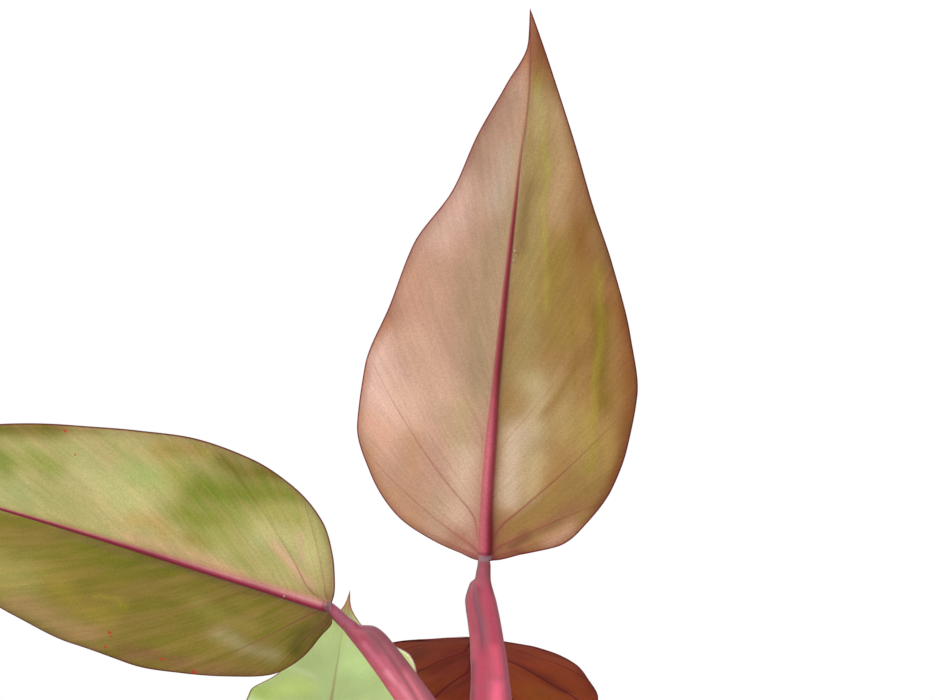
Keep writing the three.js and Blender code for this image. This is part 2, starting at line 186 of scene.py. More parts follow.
def through(x, places, heights):
    # Smooth curve through given heights that never overshoots them
    places, heights = np.asarray(places, float), np.asarray(heights, float)
    span = np.diff(places)
    slope = np.diff(heights) / span
    tangent = np.zeros_like(heights)
    tangent[0], tangent[-1] = slope[0], slope[-1]
    before, after = slope[:-1], slope[1:]
    near, far = 2 * span[1:] + span[:-1], span[1:] + 2 * span[:-1]
    rising = before * after > 0
    safeBefore, safeAfter = np.where(rising, before, 1), np.where(rising, after, 1)
    tangent[1:-1] = np.where(rising, (near + far) / (near / safeBefore + far / safeAfter), 0)
    i = np.clip(np.searchsorted(places, x, side="right") - 1, 0, len(places) - 2)
    u = (x - places[i]) / span[i]
    rise = 3 * u**2 - 2 * u**3
    bend = (u**3 - 2 * u**2 + u) * span[i] * tangent[i] + (u**3 - u**2) * span[i] * tangent[i + 1]
    return heights[i] + (heights[i + 1] - heights[i]) * rise + bend


def smoothstep(x, low, high):
    # Eases from 0 to 1 between two places: three times the square of the share less twice its cube
    u = np.clip((x - low) / (high - low), 0, 1)
    return u * u * (3 - 2 * u)


def unit(vectors):
    # Each vector over its own length
    return vectors / np.linalg.norm(vectors, axis=-1, keepdims=True)


def squareTo(vectors, way):
    # Unit vectors turned square to the way
    return unit(vectors - (vectors * way).sum(-1, keepdims=True) * way)


def bezier(points, share):
    # Cubic curve through its four control points, with its unit direction
    p = np.asarray(points, float)
    s = np.asarray(share, float)[..., None]
    r = 1 - s
    place = r**3 * p[0] + 3 * r * r * s * p[1] + 3 * r * s * s * p[2] + s**3 * p[3]
    way = r * r * (p[1] - p[0]) + 2 * r * s * (p[2] - p[1]) + s * s * (p[3] - p[2])
    return place, unit(way)


def measured(points, samples):
    # A curve's sample points and directions, and the length travelled up to each
    places, ways = bezier(points, np.linspace(0, 1, samples))
    steps = np.linalg.norm(np.diff(places, axis=0), axis=1)
    return places, ways, np.concatenate([[0], np.cumsum(steps)])


def ripple(points, wavelength, seed, count=14):
    # Uneven swell between about -1 and 1: the sum of sine waves in random directions
    draw = np.random.default_rng(seed)
    ways = unit(draw.normal(size=(count, points.shape[-1])))
    lengths = wavelength * draw.uniform(0.6, 1.6, count)
    starts = draw.uniform(0, fullTurn, count)
    swing = np.sin((points @ ways.T) * (fullTurn / lengths) + starts)
    return swing.sum(axis=-1) / math.sqrt(count / 2) / 1.6


# Camera: an 85 mm lens about a metre away at the height of the stem, looking up by 12 degrees

cameraSetup = {
    "lensMm": 85, "sensorMm": 36, "upDegrees": 12, "distance": 1.0, "target": (-0.0139, 0.0, 0.430),
}


def placeCamera():
    # Stands the distance away from the target, below it by the angle that it looks up
    setup = cameraSetup
    up = math.radians(setup["upDegrees"])
    lens = bpy.data.cameras.new("camera")
    lens.lens, lens.sensor_width = setup["lensMm"], setup["sensorMm"]
    camera = newObject("camera", lens)
    x, y, z = setup["target"]
    camera.location = (x, y - math.cos(up) * setup["distance"], z - math.sin(up) * setup["distance"])
    camera.rotation_euler = (math.pi / 2 + up, 0, 0)
    bpy.context.scene.camera = camera


placeCamera()
print("camera placed")


# Leaves. The shapes are those of the frame's blades and stalks. Positive is the side of midrib
# direction cross facing direction: the viewer's left on leaf 1, and the lower half of leaf 3.
# A vein has its share of the fan of side veins at the midrib and at the margin, then how plain it is
# there and there. A stroke is a soft patch of colour, most of them the leaf's own tints and some painted
# highlight and painted shade: colour, strength, half width, and the points of its middle line as
# millimetres along the blade and across it. A rib stop is its place across the midrib, from -1 to 1,
# and its colours at the blade's foot and further up; on leaves 1 and 3 the stops paint a highlight on
# the rib's side towards the light and shade on the other. A flush is its colour, strength and reach,
# and on leaves 1 and 3 the dark flush at the foot is partly painted shade where the blade meets the
# stalk; a sap drop, and a red spot, its place along and across the blade and its radius.

stations = [0, 0.01, 0.03, 0.07, 0.14, 0.22, 0.32, 0.43, 0.55, 0.66, 0.76, 0.86, 0.94, 1]
outlinePlaces = [0, 2, 5, 8, 10, 12, 14, 16, 18, 20, 23, 26, 30, 35, 48, 83, 260]
evenVeins = [(0.24, 0.2, 0.5, 0.2), (0.38, 0.36, 0.6, 0.3), (0.51, 0.5, 0.8, 0.4), (0.62, 0.61, 0.6, 0.3),
             (0.72, 0.71, 0.5, 0.2), (0.82, 0.81, 0.4, 0.1), (0.91, 0.9, 0.3, 0.1)]

# What a leaf has where its own entry says nothing else
plainLeaf = {
    "outline": [[2.6, 2.65, 2.7, 2.8, 2.9, 3.2, 4, 5, 6, 6.7, 7.1, 7.2, 7.4, 7.5, 7.9, 9.3, 8.6]] * 2,
    "veinsPositive": evenVeins, "veinsNegative": evenVeins, "heel": 0,
    "ribHalf": [2.5, 2.7, 2.5, 2.2, 1.9, 1.6, 1.15, 0.75, 0.4, 0.12], "ribShift": [0] * 10,
    "rib": [(-1, "#a86068", "#a05c5c", "#985a50"), (-0.5, "#a43c50", "#8e3a46", "#7e3a3c"),
            (0, "#cc6078", "#a84c5c", "#8a4044"), (0.5, "#b85064", "#98424e", "#84403e"),
            (1, "#a86068", "#a05c5c", "#985a50")],
    "ribFade": (0.6, 1, 0.8), "ribReach": 1, "ring": "#98808c", "flushesAndFootShade": [("#a8505c", 0.8, 9)],
    "edge": "#84404a", "brush": ("#d0a07c", "#8e9848"), "streaks": 0.5, "speckle": 0.14, "gloss": 0.12,
    "veinTint": "#7d3340", "veinHalf": 0.12, "drops": [], "spots": [],
    "topStrokes": [], "topRib": "#c98a7c", "spread": 1, "rimWidth": 1,
}
leaves = {
    "1": {
        "stalk": [[0, -7.5, 188], [-5, -10.5, 234], [-8, -25, 292], [-6, -40, 329.6]],
        "midrib": [[-6, -40, 329.6], [-5, -60, 407], [13, -90, 478.5], [12, -128, 545.5]],
        "azimuth": 270, "wingStart": 8,
        "outline": [
            [3.05, 3.15, 3.6, 4, 6, 6.7, 7.3, 7.8, 8.05, 7.9, 7.55, 7.05, 6.55, 6, 5.7, 8.6, 8.6],
            [2.1, 2.5, 2.65, 2.8, 3.15, 3.65, 4.2, 4.8, 5.4, 5.85, 6.5, 7.1, 7.8, 8.6, 10.4, 12.4, 8.6],
        ],
        "faceBase": [0.05, 0.92, 0.38], "faceTip": [0.05, 0.92, 0.38],
        "fold": 11, "wave": 2.5, "waves": 2.6, "phase": 0.6, "lobe": 1.5,
        "positive": [2, 10, 22.7, 39.6, 52.7, 59.6, 58.5, 50.6, 42.8, 28.2, 20.3, 9.2, 0.6, 0],
        "negative": [2.3, 14.3, 33.1, 43.5, 54.3, 59.4, 61.2, 55, 43.7, 31.5, 21.9, 12.2, 5.1, 0],
        "veinsPositive": [(0.26, 0.24, 0.5, 0.0), (0.372, 0.366, 0.9, 0.15), (0.515, 0.513, 1.1, 0.25),
                          (0.677, 0.66, 0.45, -0.5), (0.8, 0.8, 0.1, 0.0), (0.9, 0.9, 0.1, 0.0)],
        "veinsNegative": [(0.25, 0.2, 0.5, 0.1), (0.378, 0.28, 1.2, 0.3), (0.476, 0.492, 1.5, 0.2),
                          (0.66, 0.645, 0.3, 0.2), (0.79, 0.79, 0.15, 0.0), (0.9, 0.9, 0.1, 0.0)],
        # The left half, turned towards the light, is pink-tan and the right half olive: partly the blade's
        # own colours, partly painted light and painted shade of its fold.
        "under": ("#c19a8a", "#a7814e"), "streaks": 0.28, "brush": ("#c49878", "#a3904e"),
        "veinTint": "#a05a4c",
        "ribHalf": [2.7, 3.4, 2.9, 2.7, 1.95, 1.65, 1.1, 0.7, 0.45, 0.15],
        "ribShift": [0, 0, 0.1, 0.1, 0.3, 0.6, 1.1, 1.1, -0.5, 0], "ribFade": (0.6, 0.82, 0.4),
        # Across the rib the viewer's left is painted lighter pink as a painted highlight, and the right
        # dark crimson as painted shade, over the rib's own crimson.
        "rib": [(-1, "#80383a", "#94483f", "#865040"), (-0.7, "#7a242e", "#984048", "#803a36"),
                (-0.45, "#8e2f3f", "#a24652", "#7a2a30"), (-0.2, "#ac4a5e", "#b45464", "#7c2a32"),
                (0.08, "#ba566a", "#c46076", "#88303a"), (0.35, "#bc6070", "#cc6c80", "#944250"),
                (0.65, "#b6686e", "#bc6a70", "#9c565a"), (1, "#b87472", "#b87c70", "#a47468")],
        # The dark crimson flush at the foot is partly the blade's own flush and partly painted shade where
        # it meets the stalk.
        "flushesAndFootShade": [("#b3625c", 0.6, 17), ("#8a3044", 0.9, 8)],
        "strokes": [
            ("#a48f71", 0.85, 9, [(150, 3), (130, 7), (96, 9), (72, 8)]),
            ("#9d806f", 0.7, 8, [(196, 9), (180, 15), (166, 17)]),
            ("#b8a698", 0.7, 6, [(172, 5), (152, 10)]),
            ("#d5b2a7", 0.8, 7, [(158, 26), (146, 27), (134, 33)]),
            ("#ac8f73", 0.8, 7, [(122, 20), (106, 18)]), ("#c09b85", 0.7, 7, [(120, 32), (100, 30)]),
            # The two brownish strokes on the next line, 42 and 49 mm out to the left, are painted shade
            # where the margin's wave dips.
            ("#c69883", 0.7, 6, [(118, 42), (104, 42)]), ("#b1836d", 0.8, 5, [(98, 49), (90, 49)]),
            ("#e4c0b6", 0.95, 11, [(77, 56), (68, 50), (60, 47)]),
            ("#d8b4a1", 0.8, 9, [(66, 37), (54, 34)]), ("#e3b099", 0.7, 7, [(54, 55), (46, 48)]),
            ("#ceac96", 0.7, 8, [(86, 34), (78, 27), (68, 24)]), ("#c29677", 0.7, 5, [(46, 34), (36, 33)]),
            ("#bfab84", 0.7, 7, [(62, 14), (48, 14)]), ("#d4bba7", 0.8, 6, [(42, 11), (28, 12), (18, 11)]),
            ("#b99175", 0.8, 7, [(28, 38), (24, 30), (14, 30)]),
            ("#c49471", 0.6, 4, [(40, 55), (28, 48), (14, 33)]), ("#b9a086", 0.7, 5, [(24, 21), (12, 20)]),
            ("#a07b64", 0.8, 4, [(8, 12), (3, 18)]), ("#d8906a", 0.7, 2.5, [(75, 59), (68, 60)]),
            ("#c98964", 0.6, 2.5, [(92, 52), (84, 56)]),
            ("#ac9862", 0.85, 7, [(172, -4), (133, -8), (96, -11), (84, -8)]),
            ("#bc9e79", 0.8, 6.5, [(193, -12), (172, -16), (150, -17)]),
            ("#a87b56", 0.7, 4, [(172, -24), (154, -27)]), ("#966233", 0.8, 5, [(146, -28), (132, -32)]),
            ("#9d833e", 0.8, 8, [(134, -20), (116, -22), (98, -24)]),
            ("#ab863f", 0.7, 7, [(126, -33), (106, -34)]), ("#a26d46", 0.8, 4, [(126, -42), (112, -43)]),
            ("#cab88e", 0.9, 6, [(76, -14), (66, -17), (56, -18)]),
            ("#bea572", 0.7, 7, [(76, -26), (58, -30)]),
            ("#e1cbb2", 0.9, 7, [(54, -10), (40, -10), (28, -9)]),
            ("#d1bc90", 0.8, 6, [(44, -20), (32, -20)]), ("#b49c5a", 0.7, 6, [(62, -40), (42, -42)]),
            ("#c0a059", 0.7, 4, [(58, -50), (44, -50)]),
            ("#aeab4a", 0.45, 1.4, [(204, -4), (178, -8), (153, -11), (139, -12), (120, -17), (108, -18)]),
            ("#7e651b", 0.85, 4.5, [(110, -40), (96, -43), (84, -46), (70, -47)]),
            ("#ae9f37", 0.5, 1.6, [(130, -36), (104, -41), (84, -44), (62, -43), (40, -43)]),
            ("#8c7720", 0.4, 1.2, [(112, -28), (96, -32), (76, -35)]),
            ("#915c2d", 0.9, 4.5, [(112, -49), (96, -55), (78, -58), (56, -59), (36, -53)]),
            ("#966f32", 0.6, 3, [(92, -38), (72, -26), (62, -20)]),
            ("#a9884b", 0.85, 5, [(34, -44), (28, -32), (20, -20), (16, -14)]),
            ("#996c4d", 0.7, 4, [(22, -38), (16, -26)]), ("#825b31", 0.8, 3.5, [(30, -51), (22, -48)]),
            ("#cda086", 0.9, 4, [(13, -36), (8, -28)]),
            ("#774e32", 0.8, 3, [(12, -18), (6, -12), (2, -16)]),
            # The dark brown stroke at the foot of the right half is partly painted shade along the blade's
            # lower edge, and the olive-brown stroke just right of the midrib, from 134 to 160 mm, is
            # painted shade beside the rib.
            ("#7c4a2f", 0.7, 1.8, [(4, -34), (-2, -14)]), ("#8a6e41", 0.6, 2.6, [(160, -3.5), (134, -3)]),
            ("#945b32", 0.85, 6, [(214, -5), (222, -2)]), ("#bdac7b", 0.7, 4, [(197, -4), (182, -5)]),
            ("#a26952", 0.9, 6, [(216, 2), (234, 0)]),
        ],
        "edge": "#6e1422", "drops": [(132, -1.1, 0.85), (128.2, -1, 0.6)],
        "upper": ("#56652c", "#8b8f3e", "#d9a08a", "#b8505a"), "upperSplash": 0.62,
    },
    "2": {
        "stalk": [[0, 7.5, 184], [0, 13, 232], [-1, 40, 293], [-9.5, 76, 305]],
        "midrib": [[-9.5, 76, 305], [-9, 159, 319], [-8, 236, 290], [-6, 296, 236]],
        "azimuth": 88, "wingStart": 12,
        "faceBase": [0.06, 0.1, 0.99], "faceTip": [0.06, 0.6, 0.8],
        "fold": -7, "wave": 0.5, "waves": 2.2, "phase": 1, "lobe": 10, "shoulder": (99, 25, 1.6),
        "positive": [4, 10.1, 16.1, 24.2, 31.4, 42.4, 52.4, 58.7, 64.9, 62.7, 50.8, 32.2, 12.8, 0],
        "negative": [4, 11.8, 20.6, 25.8, 29.6, 45.4, 60.2, 64.8, 62.9, 53.1, 38, 21, 6, 0],
        "veinsPositive": [(0.3, 0.28, 0.7, 0.5), (0.45, 0.44, 0.9, 0.6), (0.6, 0.59, 1.0, 0.8),
                          (0.734, 0.73, 1.2, 1.0), (0.84, 0.84, 0.9, 0.6), (0.92, 0.92, 0.5, 0.3)],
        "veinsNegative": [(0.28, 0.26, 0.7, 0.5), (0.43, 0.42, 0.9, 0.6), (0.59, 0.58, 1.0, 0.6),
                          (0.735, 0.74, 1.2, 0.9), (0.812, 0.827, 1.2, 0.9), (0.91, 0.91, 0.6, 0.3)],
        # The underside's dark red is partly the young leaf's own red and partly painted shade, as it hangs
        # in shade below the other leaves.
        "under": ("#9a3d1e", "#8a3219"), "streaks": 0.15, "veinTint": "#5c0c1a", "veinHalf": 0.45,
        "gloss": 0.03,
        "ribHalf": [2.5, 2.6, 2.5, 2.3, 2.1, 1.8, 1.35, 0.9, 0.5, 0.12],
        "rib": [(-1, "#7a2a30", "#74282c", "#6d2428"), (0, "#9c3444", "#8c3040", "#7a2a30"),
                (1, "#7a2a30", "#74282c", "#6d2428")],
        "flushesAndFootShade": [("#7c1c2c", 0.8, 24)],
        "strokes": [
            ("#780f19", 0.8, 9, [(60, 0), (150, 0)]), ("#9d4f18", 0.8, 11, [(128, 32), (156, 40)]),
            ("#95471c", 0.7, 9, [(112, -34), (140, -38)]), ("#89281d", 0.7, 8, [(56, 20), (80, 24)]),
            ("#a23820", 0.6, 6, [(90, 26), (84, 44)]), ("#7f2b16", 0.7, 5, [(80, 54), (120, 62)]),
            ("#7a1816", 0.7, 7, [(70, -12), (100, -16), (112, -22)]),
            ("#6b2013", 0.6, 6, [(66, -28), (90, -34)]), ("#7f2c11", 0.6, 4, [(104, 36), (124, 46)]),
            ("#640c16", 0.6, 2.6, [(84, -4), (98, -14), (106, -26), (110, -36)]),
            ("#640c16", 0.6, 2.6, [(122, -3), (134, -12), (146, -24)]),
            ("#640c16", 0.6, 2.6, [(80, 12), (92, 24), (106, 36), (124, 48)]),
        ],
        # The dark red of the upper margin is spread over four times the usual width, as painted shade along
        # the far edge of the blade that shows from below.
        "edge": "#7a2024", "topEdge": "#7c2a20", "rimWidth": 4,
        "upper": ("#3f5a28", "#7d8a3a", "#c98d6a", "#8f3f3c"), "upperSplash": 0.55,
    },
    "3": {
        "stalk": [[-7.5, 0, 172], [-8, -1, 241], [-38, -1, 275], [-73.5, -12, 312.5]],
        "midrib": [[-73.5, -12, 312.5], [-151.5, -24, 335.5], [-223, -38, 356], [-298.5, -56, 374]],
        "azimuth": 185, "wingStart": 12,
        "outline": [[2.6, 2.7, 2.75, 2.6, 2.5, 2.5, 2.75, 2.85, 2.9, 2.95, 3.1, 3.3, 3.7, 4.1, 5.2, 6, 8],
                    [2, 2.3, 2.7, 2.95, 3.4, 3.9, 4.1, 6, 8.1, 9.2, 10, 10.3, 10.3, 10.3, 10.4, 13.6, 8.6]],
        "faceBase": [0, 0.84, 0.54], "faceTip": [0, 0.84, 0.54],
        "fold": 9, "wave": 2.5, "waves": 2.2, "phase": 2, "lobe": 6.5,
        "positive": [7.8, 23.4, 34.5, 46.3, 53.3, 58.6, 63.4, 62.9, 54.5, 42.5, 30.5, 17.1, 6.8, 0],
        "negative": [2.7, 12.4, 22.7, 36.2, 46.9, 51.9, 53.3, 50.5, 44.1, 35.3, 24.8, 14.7, 5.7, 0],
        "veinsPositive": [(0.235, 0.22, 0.7, 0.4), (0.4, 0.41, 0.9, 0.3), (0.615, 0.615, 0.5, 0.2),
                          (0.75, 0.75, 0.15, 0.0), (0.84, 0.84, 0.1, 0.0), (0.92, 0.92, 0.1, 0.0)],
        "veinsNegative": [(0.305, 0.29, 0.5, 0.25), (0.445, 0.475, 0.8, 0.1), (0.6, 0.6, 0.15, 0.1),
                          (0.72, 0.72, 0.1, 0.0), (0.84, 0.84, 0.1, 0.0), (0.92, 0.92, 0.1, 0.0)],
        # The lower half is dark olive and the upper half pale: partly the blade's own colours, partly
        # painted light on the half turned up to the light and painted shade on the half folded down.
        "under": ("#897b2f", "#c0b97f"), "streaks": 0.6, "brush": ("#c4a070", "#84903a"),
        "veinTint": "#86503c", "heel": 2.8,
        "ring": "#80606c",
        "ribHalf": [2.4, 2.5, 2.25, 2.05, 1.8, 1.45, 1.05, 0.7, 0.38, 0.12],
        # Across the rib the upper edge is pale pink as a painted highlight, and the lower part dark crimson
        # as painted shade, over the rib's own crimson. Past the lower edge, a pale grey line is a painted
        # reflection and the olive beyond it is the rib's painted shadow; the reach of 1.7 carries both onto
        # the blade.
        "rib": [(-1, "#c48c78", "#bc8872", "#b08468"), (-0.7, "#d8a0a0", "#c88c8e", "#b07878"),
                (-0.4, "#c06a7c", "#aa5464", "#94404c"), (-0.05, "#9c3850", "#8e2c44", "#86283e"),
                (0.5, "#86203a", "#7e2238", "#7a243a"), (0.9, "#7a2c40", "#7a3038", "#7a3438"),
                (1.05, "#8a6058", "#84604e", "#7c5838"), (1.35, "#87685e", "#81664e", "#786432"),
                (1.7, "#7f6648", "#7c683c", "#7a6c30")],
        # The dark flush at the foot is partly the blade's own flush and partly painted shade where it meets
        # the stalk.
        "ribReach": 1.7, "flushesAndFootShade": [("#a87058", 0.5, 12), ("#6a3a3c", 0.85, 6)],
        "strokes": [
            ("#caca8e", 0.9, 8, [(120, -27), (105, -24), (93, -20)]),
            ("#b5cc7f", 0.8, 6, [(98, -33), (87, -35)]),
            ("#d2b476", 0.85, 4, [(92, -13), (82, -14), (76, -9)]),
            ("#dcb390", 0.75, 2.6, [(92, -4), (60, -4), (40, -4)]),
            ("#8c9838", 0.9, 7, [(74, -22), (64, -20), (55, -23)]),
            ("#938934", 0.7, 4, [(66, -11), (58, -12)]),
            ("#74871f", 0.95, 9, [(70, -33), (58, -35), (47, -37)]),
            ("#7f8a2e", 0.9, 5, [(42, -40), (32, -42)]),
            ("#6c6811", 0.9, 5, [(64, -48), (52, -46), (42, -49)]),
            ("#a7ab52", 0.7, 4.5, [(84, -38), (78, -36)]),
            ("#a58c43", 0.8, 4.5, [(92, -45), (80, -47), (72, -48)]),
            ("#bbb679", 0.7, 4.5, [(110, -39), (98, -41)]), ("#a1955a", 0.7, 3, [(136, -39), (118, -45)]),
            ("#736d1f", 0.9, 4.5, [(160, -32), (147, -37), (134, -42)]),
            ("#7b8c3c", 0.9, 6.5, [(160, -22), (151, -17)]), ("#8da144", 0.7, 6, [(142, -24), (130, -24)]),
            ("#aeb77d", 0.8, 5, [(150, -4), (140, -8)]), ("#afb371", 0.6, 5, [(132, -11), (116, -12)]),
            ("#aeb165", 0.8, 5, [(56, -16), (44, -18), (40, -10)]),
            ("#a1a653", 0.6, 4, [(50, -27), (44, -25)]),
            ("#d4d293", 0.9, 7, [(36, -21), (26, -23), (16, -20)]),
            ("#adae5c", 0.8, 5, [(38, -31), (28, -33)]), ("#bfc17c", 0.8, 4, [(21, -36), (12, -30)]),
            ("#c2c07b", 0.7, 4, [(34, -11), (26, -10)]),
            ("#f4c0ae", 0.6, 2, [(30, -18), (23, -14), (12, -7)]),
            ("#d9b19c", 0.5, 1.6, [(24, -26), (18, -16)]), ("#aba85a", 0.9, 15, [(152, 34), (134, 34)]),
            ("#b89666", 0.85, 8, [(128, 48), (112, 51), (96, 53)]),
            ("#ac983b", 0.7, 8, [(114, 32), (100, 40), (90, 42)]),
            ("#865a3f", 0.8, 4.5, [(78, 58), (66, 54), (54, 52)]),
            # The dark olive stroke on this line, 5 to 8 mm below the midrib, is its painted shadow; the two
            # pale strokes after it, 20 to 54 mm along and 19 to 36 mm out, are a painted sheen.
            ("#75761c", 0.9, 6, [(118, 5), (96, 8), (72, 6)]),
            ("#a09447", 0.8, 5, [(54, 19), (42, 24), (32, 22)]),
            ("#aca175", 0.8, 4.5, [(42, 32), (30, 36), (20, 34)]),
            ("#7b7a24", 0.8, 4, [(26, 9), (23, 21), (14, 19)]),
            ("#4d4e07", 0.9, 4.5, [(10, 28), (5, 15), (2, 8)]),
            ("#9a734b", 0.7, 5, [(46, 54), (34, 51), (22, 48)]), ("#9a8a3a", 0.6, 4, [(38, 12), (30, 13)]),
            ("#6c553d", 0.4, 2, [(120, 3.4), (30, 4.6)]),
            ("#aba71f", 0.5, 1.5, [(97, 31), (88, 30), (83, 34)]),
        ],
        "spots": [(87, 50, 1.0), (86, 52, 0.6), (87, 59, 0.8), (62, 55, 0.8), (47, 56, 1.3),
                  (131, -41, 0.8), (124, -32, 0.5)],
        "edge": "#661a22", "drops": [(20.4, -0.5, 0.6)],
        "upper": ("#4f6b2c", "#8fa047", "#d6c48c", "#bd6a5e"), "upperSplash": 0.58,
    },
    "4": {
        "stalk": [[6, -4.6, 160], [24, -19, 205], [62, -48, 232], [93, -72, 226]],
        "midrib": [[93, -72, 226], [140, -109, 236], [186, -145, 205], [212, -166, 145]],
        "azimuth": 322, "wingStart": 12,
        "faceBase": [-0.1, 0.08, 1], "faceTip": [0.6, -0.45, 0.66],
        "fold": 14, "wave": 2.5, "waves": 2.4, "phase": 0.3, "lobe": 6,
        "positive": [7, 16, 28, 41, 51, 56, 57, 52, 43, 32, 22, 12, 4, 0],
        "negative": [7, 15, 27, 40, 50, 56, 58, 53, 44, 33, 22, 11, 4, 0],
        "under": ("#9a8f4c", "#a7945c"),
        "strokes": [("#b08d64", 0.7, 10, [(20, 6), (80, 14), (150, 4)]),
                    ("#8f8a3c", 0.7, 9, [(30, -24), (110, -30)])],
        "upper": ("#3f5f28", "#97aa4c", "#e3cfa0", "#d1786c"), "upperSplash": 0.60,
    },
    "5": {
        "stalk": [[-7.3, 2, 150], [-37, 0, 187], [-78, -12, 223], [-78.5, 22, 245.5]],
        "midrib": [[-78.5, 22, 245.5], [-78.5, 52, 263.5], [-76.5, 88, 290.5], [-71.5, 112, 332.5]],
        "azimuth": 165, "wingStart": 12,
        "faceBase": [0, -0.7, 0.7], "faceTip": [0, -0.8, 0.6],
        "fold": 10, "wave": 1.5, "waves": 2, "phase": 1, "lobe": 4,
        "positive": [6, 13.8, 22.4, 31.1, 37.7, 41.5, 42.5, 41.3, 39.8, 35.5, 22, 7.4, 1.5, 0],
        "negative": [6, 12.9, 20.9, 29, 35, 37.5, 38.9, 38.1, 26.9, 20, 13.8, 7.2, 1.5, 0],
        "under": ("#93954e", "#9c9a58"), "strokes": [],
        # The very pale lime strokes are partly the leaf's own lime and partly painted light: the glow of
        # light shining through the blade, and its sheen.
        "topStrokes": [("#dcffae", 0.8, 9, [(84, 6), (76, 14)]),
                       ("#c7e098", 0.8, 8, [(92, -8), (80, -16)]),
                       ("#e3ff8e", 0.8, 10, [(60, -16), (52, -32)]), ("#c0e85b", 0.7, 6, [(54, -34)]),
                       ("#a5905d", 0.8, 5, [(110, 0), (118, 0)]),
                       ("#b8805c", 0.8, 3, [(118, 1), (127, 0)]),
                       ("#e6f7be", 0.6, 1.6, [(74, -22), (71, -10)]),
                       ("#e6f8a7", 0.8, 5, [(84, 34), (70, 38)]),
                       ("#e3f1d0", 0.8, 0.9, [(95, 4), (94, 5)])],
        "edge": "#9a5044", "topEdge": "#a04a44", "spread": 0.25, "speckle": 0.04,
        # The upper side's pale lime colours are partly the leaf's own lime and partly painted light, for
        # light shining through the blade and its sheen.
        "upper": ("#cfeb9d", "#cde69a", "#d8e6ac", "#d4c898"), "upperSplash": 0.1, "topRib": "#b08468",
    },
    "6": {
        "stalk": [[-4, -6.4, 141], [-17, -27, 186], [-36, -56, 213], [-57, -88, 205]],
        "midrib": [[-57, -88, 205], [-83, -128, 213], [-114, -176, 183], [-132, -204, 128]],
        "azimuth": 237, "wingStart": 12,
        "faceBase": [0.06, 0.1, 1], "faceTip": [-0.42, -0.63, 0.65],
        "fold": 12, "wave": 2, "waves": 2.3, "phase": 2.4, "lobe": 6,
        "positive": [6, 14, 25, 36, 46, 50, 51, 46, 38, 28, 19, 10, 3.5, 0],
        "negative": [6, 14, 24, 36, 45, 50, 50, 46, 38, 29, 20, 10, 3.5, 0],
        "under": ("#8b8a48", "#948c50"),
        "strokes": [("#a58e60", 0.7, 10, [(20, -6), (90, -12), (150, 0)])],
        "upper": ("#355624", "#7f9a42", "#d8cf98", "#b9655c"), "upperSplash": 0.5,
    },
    "7": {
        "stalk": [[7.2, 2, 131], [32, 9, 180], [82, 22, 222], [121, 32, 214]],
        "midrib": [[121, 32, 214], [166, 44, 222], [216, 57, 190], [244, 65, 132]],
        "azimuth": 15, "wingStart": 12,
        "faceBase": [-0.12, -0.03, 1], "faceTip": [0.72, 0.2, 0.66],
        "fold": 13, "wave": 2, "waves": 2.5, "phase": 1.2, "lobe": 6,
        "positive": [7, 15, 26, 38, 47, 52, 53, 48, 40, 30, 20, 10, 3.5, 0],
        "negative": [7, 15, 27, 39, 48, 53, 54, 49, 40, 29, 20, 10, 3.5, 0],
        "under": ("#969350", "#8f8a48"), "strokes": [("#ac9064", 0.7, 10, [(20, 6), (90, 12), (150, 0)])],
        "upper": ("#47662a", "#a3b356", "#e6d6b0", "#c96f68"), "upperSplash": 0.57,
    },
}
leaves = {name: {**plainLeaf, **leaf} for name, leaf in leaves.items()}

bladeMesh = {
    "rows": 140, "outer": 27, "marginSamples": 1500, "thickness": 0.9, "marginThickness": 0.45,
    "ribSteps": [0.2, 0.4, 0.58, 0.74, 0.88, 1.0, 1.12, 1.26, 1.45, 1.8, 2.5],  # in half widths of the rib
    "ribShares": [0, 0.03, 0.1, 0.2, 0.3, 0.4, 0.55, 0.7, 0.85, 1],
    "rake": 2.6,  # how much further out a side vein meets the margin than it leaves the midrib
    "veinBend": 0.25, "curl": 0.03, "heelAt": 8, "heelHalf": 7, "quilt": 0.4, "swell": 0.5,
    "swellLength": 46, "ribDepth": 3.3, "footFlat": 0.42, "groove": 0.5, "dropSunk": 0.3,
}


def meetsMargin(vein):
    # The share of the length at which a vein of the fan meets the margin
    return 1.6 * vein**2 - 0.6 * vein**3


def halfWidthAt(leaf, meets, side):
    # The outline's table is read by square roots of the shares, so that the foot and tip are round
    return through(np.sqrt(meets), np.sqrt(stations), leaf["negative" if side < 0 else "positive"])


def ribHalfAt(leaf, along):
    # Half the width of the midrib, from its table
    return through(np.clip(along, 0, 1), bladeMesh["ribShares"], leaf["ribHalf"])


